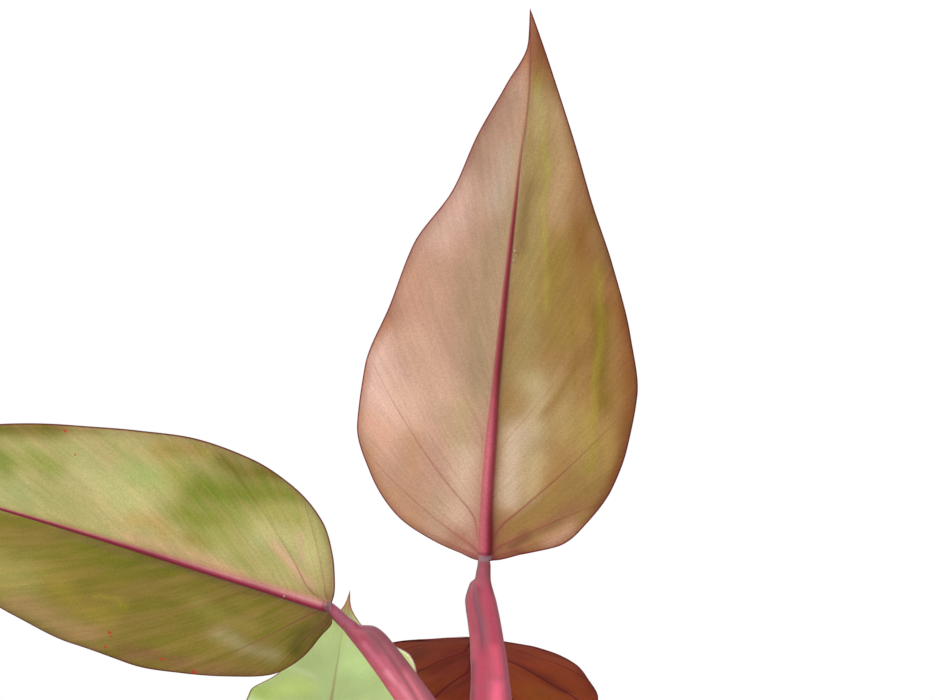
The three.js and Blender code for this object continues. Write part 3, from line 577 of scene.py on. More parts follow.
def bladeSurface(leaf, vein, out, side):
    # A side vein leaves the midrib at one share of its length and meets the margin further on, so the
    # rows follow the veins. A point lies across the midrib by its share of the half width, raised by
    # the fold, the curl and the waves of the margin, and drawn back where the basal lobes are.
    setup, meets = bladeMesh, meetsMargin(vein)
    starts, bend = meets ** setup["rake"], setup["veinBend"]
    along = starts + (meets - starts) * ((1 - bend) * out + bend * out * out)
    halfWidth = halfWidthAt(leaf, meets, side)
    across = out * halfWidth
    rib, forward = bezier(leaf["midrib"], along)
    share = along[..., None]
    facing = squareTo(np.array(leaf["faceBase"]) * (1 - share) + np.array(leaf["faceTip"]) * share, forward)
    sideways = np.cross(forward, facing)
    fold = math.radians(leaf["fold"])
    swing = np.sin(fullTurn * leaf["waves"] * meets + leaf["phase"] * side)
    wave = leaf["wave"] * out**2 * swing * np.sqrt(np.clip(np.sin(math.pi * meets), 0, 1))
    widest = max(leaf["negative" if side < 0 else "positive"])
    back = leaf["lobe"] * (across / widest) ** 1.5 * np.exp(-9 * along)
    if side > 0:  # a heel fills the corner beside the stalk
        fromHeel = (across - setup["heelAt"]) / setup["heelHalf"]
        back = back + leaf["heel"] * np.exp(-(fromHeel**2) - 20 * along)
    rise = across * math.sin(fold) + setup["curl"] * out**2 * halfWidth + wave
    point = rib + sideways * (side * across * math.cos(fold))[..., None]
    point = point + facing * rise[..., None] - forward * back[..., None]
    if "shoulder" in leaf:  # lifts what lies nearer than a distance from the front
        edgeY, reach, height = leaf["shoulder"]
        point[..., 2] += height * np.clip((edgeY - point[..., 1]) / reach, 0, 2.5) ** 2
    tilt = side * math.tan(fold) * np.minimum(1, 4 * out)
    return {"point": point, "normal": unit(facing - sideways * tilt[..., None]), "facing": facing,
            "along": along, "across": side * across, "vein": vein, "out": out}


def veinPhase(veins, vein, out):
    # Counts the side veins passed so far: a whole number on each vein, and even steps between. Close
    # to the midrib the veins bend down along it.
    hug = 0.15 * np.exp(-((out / 0.055) ** 2))
    marks = [atRib + (atMargin - atRib) * out - hug * min(1, atRib / 0.4)
             for atRib, atMargin, _, _ in veins]
    marks = [np.full(out.shape, -0.05), *marks, np.full(out.shape, 1.08)]
    phase = sum(np.clip((vein - low) / (high - low), 0, 1) for low, high in zip(marks[:-1], marks[1:]))
    strength = np.zeros(out.shape)
    for place, (_, _, nearRib, nearMargin) in enumerate(veins, start=1):
        here = np.clip(nearRib + (nearMargin - nearRib) * out, 0, 2)
        strength = strength + here * np.clip(1 - np.abs(phase - place), 0, 1)
    return phase, strength


def phaseLength(point, phase):
    # Millimetres from one side vein to the next: one over the slope of the phase on the surface
    byRow, byColumn = np.gradient(point, axis=0), np.gradient(point, axis=1)
    rr, rc, cc = (byRow**2).sum(-1), (byRow * byColumn).sum(-1), (byColumn**2).sum(-1)
    pr, pc = np.gradient(phase, axis=0), np.gradient(phase, axis=1)
    slope = (cc * pr**2 - 2 * rc * pr * pc + rr * pc**2) / np.maximum(rr * cc - rc**2, 1e-6)
    return 1 / np.sqrt(np.maximum(slope, 1e-6))


def bladeGrid(leaf):
    # Both halves on one grid: the negative half's margin first, then the midrib, then the other margin
    setup = bladeMesh
    vein = np.linspace(0, 0.992, setup["rows"])
    meets = meetsMargin(vein)
    steps = np.linspace(0, 1, setup["outer"] + 1)[1:]
    dense = np.linspace(0, 1, setup["marginSamples"])
    halves, margins = [], []
    for side, veins in ((-1, "veinsNegative"), (1, "veinsPositive")):
        width = np.maximum(halfWidthAt(leaf, meets, side), 0.6)
        beside = np.minimum(ribHalfAt(leaf, meets ** setup["rake"]) / width, 0.25)
        inner = beside[:, None] * np.array(setup["ribSteps"])
        outer = inner[:, -1:] + (1 - inner[:, -1:]) * steps
        out = np.concatenate([np.zeros((len(vein), 1)), inner, outer], axis=1)
        rows = np.repeat(vein[:, None], out.shape[1], axis=1)
        half = bladeSurface(leaf, rows, out, side)
        shift = through(np.clip(half["along"], 0, 1), setup["ribShares"], leaf["ribShift"])
        half["fromRib"] = (half["across"] - shift) / ribHalfAt(leaf, half["along"])
        half["phase"], half["strength"] = veinPhase(leaf[veins], rows, out)
        half["spacing"] = phaseLength(half["point"], half["phase"])
        halves.append(half)
        margins.append(bladeSurface(leaf, dense, np.ones(len(dense)), side)["point"])
    left, right = halves
    grid = {key: np.concatenate([left[key][:, ::-1], right[key][:, 1:]], axis=1) for key in left}
    margin = np.concatenate(margins)
    grid["fromEdge"] = np.stack([np.linalg.norm(row[:, None] - margin, axis=-1).min(axis=-1)
                                 for row in grid["point"]])
    return grid


def blend(low, high, share):
    # From one colour to another by a share at each point; either may be a hex text
    low, high = (linear(colour) if isinstance(colour, str) else colour for colour in (low, high))
    return low * (1 - share[..., None]) + high * share[..., None]


def fromLine(along, across, line):
    # Distance to a bent line, the least of the distances to its straight parts
    line = np.array(line if len(line) > 1 else line * 2, float)
    nearest = np.full(along.shape, 1e6)
    for (x0, y0), (x1, y1) in zip(line[:-1], line[1:]):
        square = max((x1 - x0) ** 2 + (y1 - y0) ** 2, 1e-6)
        share = np.clip(((along - x0) * (x1 - x0) + (across - y0) * (y1 - y0)) / square, 0, 1)
        away = np.hypot(along - x0 - share * (x1 - x0), across - y0 - share * (y1 - y0))
        nearest = np.minimum(nearest, away)
    return nearest


def paintStrokes(colours, along, across, strokes):
    # Each stroke tints the blade by a bell curve of the distance from its middle line; most strokes are its
    # own tints, some painted highlight and painted shade
    for hexText, strength, halfWidth, line in strokes:
        weight = strength * np.exp(-(fromLine(along, across, line) / halfWidth) ** 2)
        colours = blend(colours, hexText, weight)
    return colours


def ribColour(leaf, fromRib, share):
    # The colour runs through the rib's stops from side to side: tints at the foot, further on and above. On
    # leaves 1 and 3 the stops paint a highlight on the side towards the light and shade on the other.
    places, *tints = zip(*leaf["rib"])
    tints = [np.array([linear(hexText) for hexText in row]) for row in tints]
    foot, middle, top = (np.stack([np.interp(fromRib, places, row[:, k]) for k in range(3)], axis=-1)
                         for row in tints)
    return blend(blend(foot, middle, smoothstep(share, 0.04, 0.14)), top, smoothstep(share, 0.2, 0.36))


bladeTints = {
    "wander": 1.5, "wanderLength": 30, "rays": 0.25, "blush": 0.45, "blushReach": 2.5, "ribSideShade": 0.35,
    "footMark": "#6e2434", "footMarkAt": 3.2, "ringEnds": (1.9, 2.7), "limeReach": 3, "ribTop": 0.85,
}


def bladeColours(name, leaf, grid, length):
    # Underside and upper side tints, with the midrib, the flush at its foot and the blush of the margin. On
    # leaves 1 and 3 the midrib carries a painted highlight and painted shade, and the dark flush at its
    # foot is partly painted shade where the blade meets the stalk.
    # The strokes, some of them painted highlight and painted shade, wander a little, less so near the
    # midrib and the margin.
    look = bladeTints
    wander = [look["wander"] * ripple(grid["point"], look["wanderLength"], seed=int(name) * 10 + k)
              for k in (0, 1)]
    calm = np.minimum(1, np.abs(grid["across"]) / 12) * np.minimum(1, grid["fromEdge"] / 5)
    along = grid["along"] * length + wander[0] * calm
    across = grid["across"] + wander[1] * calm
    fromRib, share = grid["fromRib"], grid["along"]
    fromFoot = share * length
    positive, negative = leaf["under"]
    under = blend(negative, positive, smoothstep(grid["across"], -3, 3))
    under = paintStrokes(under, along, across, leaf["strokes"])
    rays = 1 - look["rays"] + look["rays"] * np.cos(fullTurn * grid["phase"])
    fanwise = np.hypot(share * length * 0.8, across)
    # Flushes at the blade's foot; the dark ones on leaves 1 and 3 are partly painted shade where the blade
    # meets the stalk
    for flushAndShadeHex, most, reach in leaf["flushesAndFootShade"]:
        under = blend(under, flushAndShadeHex, most * rays * np.exp(-((fanwise / reach) ** 1.6)))
    blush = look["blush"] * np.exp(-((grid["fromEdge"] / look["blushReach"]) ** 2))
    under = blend(under, leaf["edge"], blush * smoothstep(np.abs(grid["across"]), 1, 4))

    # The rib's colour is spread faintly beside it as painted shade, is painted over its width or its reach,
    # and has a ring at its foot
    rib = ribColour(leaf, fromRib, share)
    fadeFrom, fadeTo, least = leaf["ribFade"]
    shown = 1 - (1 - least) * smoothstep(share, fadeFrom, fadeTo)
    ribSideShade = look["ribSideShade"] * np.exp(-((np.abs(fromRib) - 1) / 0.5) ** 2)
    under = blend(under, rib, ribSideShade * (1 - 0.6 * smoothstep(share, 0.1, 0.5)) * shown)
    reach = np.where(fromRib > 0, leaf["ribReach"], 1)
    reach = np.where(fromRib > 1, 1 + (reach - 1) * (1 - smoothstep(share, 0.25, 0.5)), reach)
    under = blend(under, rib, shown * (1 - smoothstep(np.abs(fromRib), reach - 0.15, reach + 0.1)))
    onRib = 1 - smoothstep(np.abs(fromRib), 0.85, 1.15)
    footMark = np.exp(-(((fromFoot - look["footMarkAt"]) / 0.7) ** 2))
    under = blend(under, look["footMark"], 0.5 * onRib * footMark)
    under = blend(under, leaf["ring"], 0.85 * onRib * (1 - smoothstep(fromFoot, *look["ringEnds"])))

    green, lime = leaf["upper"][:2]
    upper = np.broadcast_to(linear(green), under.shape)
    upper = blend(upper, lime, 0.35 * np.exp(-((fromRib / look["limeReach"]) ** 2)))
    upper = paintStrokes(upper, along, across, leaf["topStrokes"])
    ribTop = blend(leaf["topRib"], lime, smoothstep(share, 0.1, 1.0))
    return under, blend(upper, ribTop, look["ribTop"] * (1 - smoothstep(np.abs(fromRib), 0.35, 0.7)))


leafSkin = {
    "grain": 1500, "cloud": 60,  # noise scales per metre
    "lineFade": 0.55, "lineTint": 0.6, "relief": 0.0005, "spot": "#c4402a", "underLook": {"IOR": 1.42},
    "upperLook": {"IOR": 1.42, "Specular IOR Level": 0.5, "Coat Weight": 0.15, "Coat Roughness": 0.25},
}


def leafMaterial(name, leaf, underside):
    # Living leaf: a waxy cuticle over cells, so soft gloss above and a duller, paler skin below. Faint
    # bands follow the side veins, and the cells give a grain of about half a millimetre.
    material, tree = newMaterial(name)
    tint = add(tree, "Attribute", output="Color", attribute_name="tint")
    phase, spacing, strength, fromRib, fromEdge = (
        add(tree, "Attribute", attribute_name=key)
        for key in ("phase", "spacing", "strength", "fromRib", "fromEdge"))
    veins = add(tree, "UVMap", uv_map="veins")
    place = add(tree, "TexCoord")
    offRib = add(tree, "MapRange", [fromRib, 0.95, 1.6], interpolation_type="SMOOTHSTEP")

    def stretched(perBlade, acrossVein, shift, detail):
        # Noise drawn out along the veins: its steps over the fan of veins, and over a vein's length
        scaled = add(tree, "Mapping", [veins, (perBlade, acrossVein, 1), (shift, shift * 0.7, 0)])
        return add(tree, "TexNoise", [scaled, 1, detail, 0.55], noise_dimensions="2D")

    seed = sum(ord(letter) for letter in name)
    fine = stretched(110, 4, seed, 2)        # streaks about 2 mm wide
    broad = stretched(30, 1.6, seed + 9, 2)  # bands about 7 mm wide
    grain = add(tree, "TexNoise", [place, leafSkin["grain"], 2])
    cloud = add(tree, "TexNoise", [place, leafSkin["cloud"], 3])

    if underside:
        warmHex, coolHex = leaf["brush"]
        warm = add(tree, "Mix", [0.5, tint, warmHex])
        cool = add(tree, "Mix", [0.5, tint, coolHex])
        drift = add(tree, "Math", [fine, 0.3, broad], operation="MULTIPLY_ADD")
        spread = add(tree, "MapRange", [drift, 0.52, 0.78])
        tones = add(tree, "Mix", [spread, cool, warm])
        amount = add(tree, "Math", [offRib, 0.6 * leaf["streaks"]], operation="MULTIPLY")
        colour = add(tree, "Mix", [amount, tint, tones])
        streakDepth, veinHex, lineHalf = 0.05, leaf["veinTint"], leaf["veinHalf"]
        rimWidth, rough, edgeHex = 1, (0.5, 0.6), leaf["edge"]
        settings = {**leafSkin["underLook"], "Specular IOR Level": leaf["gloss"]}
    else:
        # Variegation: lime and cream where two drifting patterns add up high, pink where two others do
        second = stretched(15, 1.3, seed + 21, 3)
        third = stretched(60, 9, seed + 33, 4)
        green, lime, cream, pink = leaf["upper"]
        splash, spread = leaf["upperSplash"], leaf["spread"]
        drift = add(tree, "Math", [third, 0.35, second], operation="MULTIPLY_ADD")
        pinkDrift = add(tree, "Math", [broad, cloud], operation="ADD")
        low, pinkLow = 1.02 - 0.62 * splash, 1.29 - 0.45 * splash
        colour = tint
        for value, start, end, hexText, most in (
                (drift, low - 0.12, low - 0.02, lime, 0.9), (drift, low - 0.01, low + 0.08, cream, 0.85),
                (pinkDrift, pinkLow, pinkLow + 0.15, pink, 0.8)):
            part = add(tree, "MapRange", [value, start, end])
            part = add(tree, "Math", [part, offRib], operation="MULTIPLY")
            part = add(tree, "Math", [part, most * spread], operation="MULTIPLY")
            colour = add(tree, "Mix", [part, colour, hexText])
        streakDepth, veinHex, lineHalf = 0.06 * spread, green, 0.15
        rimWidth, rough, edgeHex = leaf["rimWidth"], (0.3, 0.42), leaf.get("topEdge", leaf["edge"])
        settings = leafSkin["upperLook"]

    # The line of a side vein: distance to the nearest whole phase, in millimetres
    near = add(tree, "Math", [phase, 0.5], operation="ADD")
    near = add(tree, "Math", [near], operation="FRACT")
    near = add(tree, "Math", [near, 0.5], operation="SUBTRACT")
    near = add(tree, "Math", [near], operation="ABSOLUTE")
    distance = add(tree, "Math", [near, spacing], operation="MULTIPLY")
    line = add(tree, "MapRange", [distance, lineHalf, lineHalf + leafSkin["lineFade"], 1, 0],
               interpolation_type="SMOOTHSTEP")
    line = add(tree, "Math", [line, strength], operation="MULTIPLY")
    line = add(tree, "Math", [line, offRib], operation="MULTIPLY")
    lineTint = add(tree, "Math", [line, leafSkin["lineTint"]], operation="MULTIPLY", use_clamp=True)
    colour = add(tree, "Mix", [lineTint, colour, veinHex])

    speckle = leaf["speckle"]
    colour = shaded(tree, colour, (fine, 0.3, 0.7, 1 - streakDepth, 1 + streakDepth),
                    (cloud, 0.3, 0.7, 0.94, 1.06), (grain, 0.25, 0.75, 1 - speckle, 1 + speckle))
    edge = add(tree, "MapRange", [fromEdge, 0.3 * rimWidth, 0.85 * rimWidth, 0.9, 0])
    colour = add(tree, "Mix", [edge, colour, edgeHex])

    if underside and leaf["spots"]:
        flat = add(tree, "UVMap", uv_map="spots")  # in tenths of a metre
        for alongSpot, acrossSpot, radius in leaf["spots"]:
            away = add(tree, "VectorMath", [flat, (alongSpot / 100, acrossSpot / 100, 0)], "Value",
                       operation="DISTANCE")
            dot = add(tree, "MapRange", [away, radius * 0.005, radius * 0.013, 0.85, 0])
            colour = add(tree, "Mix", [dot, colour, leafSkin["spot"]])

    # Side veins stand out below and sink in above; the cells are a fine pebbling
    relief = add(tree, "Math", [fine, 0.1, line], operation="MULTIPLY_ADD")
    relief = add(tree, "Math", [grain, 0.25, relief], operation="MULTIPLY_ADD")
    normal = add(tree, "Bump", [relief, 0.4 * min(1, speckle / 0.1), leafSkin["relief"]],
                 invert=not underside)
    roughness = add(tree, "MapRange", [cloud, 0.3, 0.7, *rough])
    finishMaterial(tree, colour, roughness, normal, settings)
    return material


def waterMaterial():
    # Guttation drop: clear water, seen by its highlight and its bright rim
    material, tree = newMaterial("guttationWater")
    haze = add(tree, "TexNoise", [add(tree, "TexCoord"), 900])
    colour = add(tree, "Mix", [haze, "#f2d6c0", "#e2bc9c"])
    finishMaterial(tree, colour, 0.04, None, {"IOR": 1.33, "Transmission Weight": 0.55,
                                              "Coat Weight": 0.5, "Coat Roughness": 0.03})
    return material


def makeBlade(name, leaf, water):
    # Two sheets, half the thickness above and below the middle surface, with the midrib added
    setup = bladeMesh
    grid = bladeGrid(leaf)
    length = measured(leaf["midrib"], 400)[2][-1]
    under, upper = bladeColours(name, leaf, grid, length)
    out, along, fromRib, facing = grid["out"], grid["along"], grid["fromRib"], grid["facing"]

    # Quilting: the blade arches up between its side veins; the midrib is a ridge below, a groove above
    arch = np.sin(math.pi * grid["phase"]) ** 2 * np.minimum(1, 3 * out)
    arch = setup["quilt"] * arch * (1 - out**3) * np.clip(grid["strength"] * 2, 0.25, 1)
    swell = ripple(grid["point"], setup["swellLength"], seed=int(name)) * np.minimum(1, 2 * out)
    middle = grid["point"] + facing * (arch + setup["swell"] * swell * (1 - out**4))[..., None]
    half = 0.5 * (setup["thickness"] + (setup["marginThickness"] - setup["thickness"]) * out**3)
    ridge = (setup["ribDepth"] * (1 - along) ** 1.3 + 0.25) * np.minimum(1, ribHalfAt(leaf, along) / 2)
    ridge = ridge * np.sqrt(np.clip(1 - fromRib**2, 0, 1))
    ridge = ridge * (1 - setup["footFlat"] * np.exp(-((along * length / 2.4) ** 2)))
    groove = setup["groove"] * (1 - along) * np.exp(-((fromRib / 0.7) ** 2))
    top = middle + grid["normal"] * half[..., None] - facing * groove[..., None]
    bottom = middle - grid["normal"] * half[..., None] - facing * ridge[..., None]

    # Both sheets run to a point at the tip, and a rim of quads joins them all round
    rows, columns = along.shape
    count = rows * columns + 1
    tip, _ = bezier(leaf["midrib"], np.array([1.0]))
    tipLift = facing[-1, columns // 2] * 0.2
    points = np.concatenate([top.reshape(-1, 3), tip + tipLift, bottom.reshape(-1, 3), tip - tipLift])
    quads = gridFaces(rows, columns, False)
    lastRow = (rows - 1) * columns + np.arange(columns)
    fan = np.stack([lastRow[:-1], lastRow[1:], np.full(columns - 1, count - 1)], axis=-1)
    side = np.arange(1, rows) * columns
    loop = np.concatenate([np.arange(columns), side + columns - 1, [count - 1], side[::-1]])
    nextLoop = np.roll(loop, -1)
    rim = np.stack([nextLoop, loop, loop + count, nextLoop + count], axis=-1)
    sheet = len(quads) + len(fan)
    faceMaterial = np.concatenate([np.zeros(sheet), np.ones(sheet + len(rim))])

    def both(values, tipValue):
        # The same values for both sheets, each with the tip's value after them
        return np.tile(np.append(values.reshape(-1), tipValue), 2)

    fields = {key: both(grid[key], tipValue)
              for key, tipValue in (("phase", 7.5), ("spacing", 1), ("strength", 0), ("fromEdge", 0.3))}
    fields["fromRib"] = both(np.abs(fromRib), 2)
    fields["tint"] = np.concatenate([upper.reshape(-1, 3), upper[-1:, columns // 2],
                                     under.reshape(-1, 3), under[-1:, columns // 2]])
    maps = {"veins": np.stack([both(grid["vein"], 1), both(np.sign(grid["across"]) * out, 0)], axis=-1),
            "spots": np.stack([both(along * length, length), both(grid["across"], 0)], axis=-1) / 100}
    materials = [leafMaterial(f"leafCuticleUpper{name}", leaf, False),
                 leafMaterial(f"leafSkinUnder{name}", leaf, True)]
    faces = (quads, fan, quads[:, ::-1] + count, fan[:, ::-1] + count, rim)
    piece = makePiece(f"leafBlade{name}", points, faces, materials, faceMaterial, fields, maps)
    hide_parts(f"blade_{name}")

    # Drops of plant sap: small balls, partly sunk in the skin below
    for number, (alongMm, acrossMm, radius) in enumerate(leaf["drops"], start=1):
        away = np.hypot(along * length - alongMm, grid["across"] - acrossMm)
        spot = np.unravel_index(away.argmin(), away.shape)
        seat = bottom[spot] - grid["normal"][spot] * radius * setup["dropSunk"]
        points, faces = closedTube(ball(12, 20), [[0, 0, 1], [0, 0, -1]], down=True)
        piece = makePiece(f"sapDrop{name}_{number}", points * radius + seat, faces, [water])


sapDropWater = waterMaterial()
for leafName, leafData in leaves.items():
    makeBlade(leafName, leafData, sapDropWater)
print("blades made")


# Leaf stalks: round at the neck, then with two wings that clasp the stem

stalkMesh = {
    "rings": 150, "around": 72, "ringPower": 1.35, "collar": 2.5, "collarThin": 0.25, "straighten": 6,
    "wingEase": 9, "lean": 0.9, "footEase": 9, "footFlat": 0.3, "footNarrow": 0.12,
    "depthPlaces": [-3, 0, 12, 40, 90, 260], "depths": [2.4, 2.6, 3.2, 3.9, 4.9, 5.2],
    "sheath": 28, "sheathThickness": 4.4, "sheathDrop": 2.4, "stemRadius": 7.2, "clasp": 1.15,
}
wingedSection = np.array([
    [0, -1], [0.56, -0.92], [0.88, -0.5], [1, 0.4], [0.93, 0.85], [0.66, 0.3],
    [0, 0], [-0.66, 0.3], [-0.93, 0.85], [-1, 0.4], [-0.88, -0.5], [-0.56, -0.92],
])

# A stroke is a tint, its strength, its half width and its way as (below the foot, from the middle) in
# millimetres; a crease is its way as (below the foot, share of the half width), its depth and its width
stalkLooks = {
    "skin": "#bb5a6e", "rim": "#8c5a66", "rimShare": {"1": (0.25, 0.6), "3": (0.6, 0)},
    "collar": "#8e7480", "wingTop": "#8c4453", "base": "#a98a58",
    # The pale pink stroke down the middle is a painted highlight where the round of the stalk faces the
    # light.
    "strokes": [("#e8708a", 0.85, 3.2, [(30, 0), (120, 0)]),
                ("#a56a7a", 0.6, 2.2, [(16, 6), (30, 7), (120, 8)]),
                ("#a56a7a", 0.6, 2.2, [(16, -6), (30, -7), (120, -8)])],
    "crease": ([(12, 0.8), (18, 0.6), (40, 0.55), (60, 0.5)], 0.5, 0.12, "#8a4a5c"),
    "strokes1": [
        ("#924d59", 0.8, 6, [(0, 0), (3, 0)]), ("#b0596e", 0.6, 1.4, [(3, 1), (12, 0)]),
        ("#757475", 0.7, 1, [(1, 3.2), (8, 4)]), ("#91313a", 0.7, 1, [(2, -2.4), (13, -3.6)]),
        ("#c44a69", 0.8, 1.6, [(12, -1), (18, -2.2), (26, -4), (36, -5.2)]),
        ("#943f54", 0.7, 1.6, [(12, 2.4), (18, 2.4), (25, 1), (34, 0.2), (40, -0.2)]),
        ("#ab4f63", 0.8, 1.5, [(14, 5.6), (22, 5.2), (30, 3.8)]),
        # The grey stroke along the top of the wing is a painted highlight, and the bright pink strokes on
        # the right from 38 mm down, in the next two lines, are a painted highlight too.
        ("#866b6f", 0.7, 0.7, [(10, 5.6), (18, 7.9), (26, 7)]),
        ("#ea6382", 0.9, 2.4, [(38, -4.8), (48, -6.2)]),
        ("#ff7297", 1, 3, [(54, -5.8), (62, -5), (100, -3)]), ("#e4708a", 0.7, 2.5, [(100, -3), (140, 0)]),
        ("#c54b69", 0.8, 2.4, [(40, 0), (52, 1.4), (90, 3)]),
        ("#874557", 0.7, 1.6, [(44, 4.6), (60, 5.2)]),
    ],
    "crease1": ([(8.6, 0.9), (10.5, 0.68), (13, 0.5), (16.5, 0.4), (26, 0.14), (32, 0)], 0.9, 0.13,
                "#8f6674"),
    "strokes3": [
        ("#94475b", 0.7, 5, [(0, 0), (6, 0)]), ("#b06981", 0.7, 1.2, [(3, -1.6), (12, -2)]),
        # On stalk 3 the near-black strokes along its lower edge, here and on the next line, are painted
        # shade; the bright pink strokes down its middle from 22 mm are a painted highlight, as is the pink
        # line along the wing from 44 mm.
        ("#8e3f50", 0.7, 1.3, [(10, 0), (18, 0)]), ("#400b16", 0.95, 1.0, [(0, 2.3), (8, 2.3), (14, 2.4)]),
        ("#5e282a", 0.9, 0.9, [(14, 2.5), (30, 3.6), (50, 5.1)]),
        ("#a44d5d", 0.9, 2, [(18, 0.2), (26, -0.3)]), ("#bd5d6e", 0.95, 2.4, [(34, 0), (42, -0.2)]),
        ("#d97593", 0.9, 1.8, [(22, -2.4), (34, -3)]), ("#f29ab3", 0.95, 2.2, [(38, -3.2), (54, -4.4)]),
        ("#de7288", 1, 3, [(46, -0.5), (54, -0.6), (100, -1)]), ("#e4788c", 0.8, 3, [(100, -1), (150, 0)]),
        ("#ae546c", 0.9, 1.8, [(16, -4.4), (22, -5), (28, -5.6)]),
        ("#995e6c", 0.9, 2.4, [(17, -7.4), (26, -8.4)]), ("#b66679", 0.9, 2.4, [(29, -8.4), (38, -8.8)]),
        ("#e37e92", 0.95, 2.8, [(44, -8.8), (60, -9), (90, -9)]),
        ("#cc6b83", 0.8, 1.6, [(32, -5.8), (44, -5.6)]), ("#c53449", 0.6, 0.8, [(19.5, -3.4)]),
    ],
    "crease3": ([(12.5, -0.95), (18, -0.8), (24, -0.76), (30, -0.76), (48, -0.74), (60, -0.7)], 0.4, 0.1,
                "#8a505c"),
}


def closedSpline(points, count):
    # Smooth closed curve through the points: a Catmull-Rom blend of each point and its neighbours
    places = np.arange(count) * len(points) / count
    i = places.astype(int)
    u = (places - i)[:, None]
    before, here, after, beyond = (points[(i + k) % len(points)] for k in (-1, 0, 1, 2))
    return 0.5 * (2 * here + (after - before) * u + (2 * before - 5 * here + 4 * after - beyond) * u**2
                  + (3 * here - before - 3 * after + beyond) * u**3)


def stalkMaterial(name):
    # Fleshy leaf stalk: a taut, smooth skin in strawberry pink with a faint grain and grey-purple bloom
    material, tree = newMaterial(name)
    tint = add(tree, "Attribute", output="Color", attribute_name="tint")
    place = add(tree, "TexCoord")
    ribs = add(tree, "Mapping", [add(tree, "UVMap", uv_map="stalk"), (24, 1.6, 1)])
    ribs = add(tree, "TexNoise", [ribs, 1, 2], noise_dimensions="2D")
    cloud = add(tree, "TexNoise", [place, 110, 2])
    specks = add(tree, "TexNoise", [place, 1400, 2])
    bloom = add(tree, "MapRange", [cloud, 0.5, 0.75, 0, 0.3])
    colour = add(tree, "Mix", [bloom, tint, "#a0647a"])
    colour = shaded(tree, colour, (ribs, 0.3, 0.7, 0.97, 1.03), (specks, 0.3, 0.7, 0.94, 1.06))
    relief = add(tree, "Math", [specks, 0.3, ribs], operation="MULTIPLY_ADD")
    normal = add(tree, "Bump", [relief, 0.15, 0.0004])
    finishMaterial(tree, colour, 0.48, normal, {"IOR": 1.42, "Specular IOR Level": 0.3,
                                                "Coat Weight": 0.05, "Coat Roughness": 0.35})
    return material


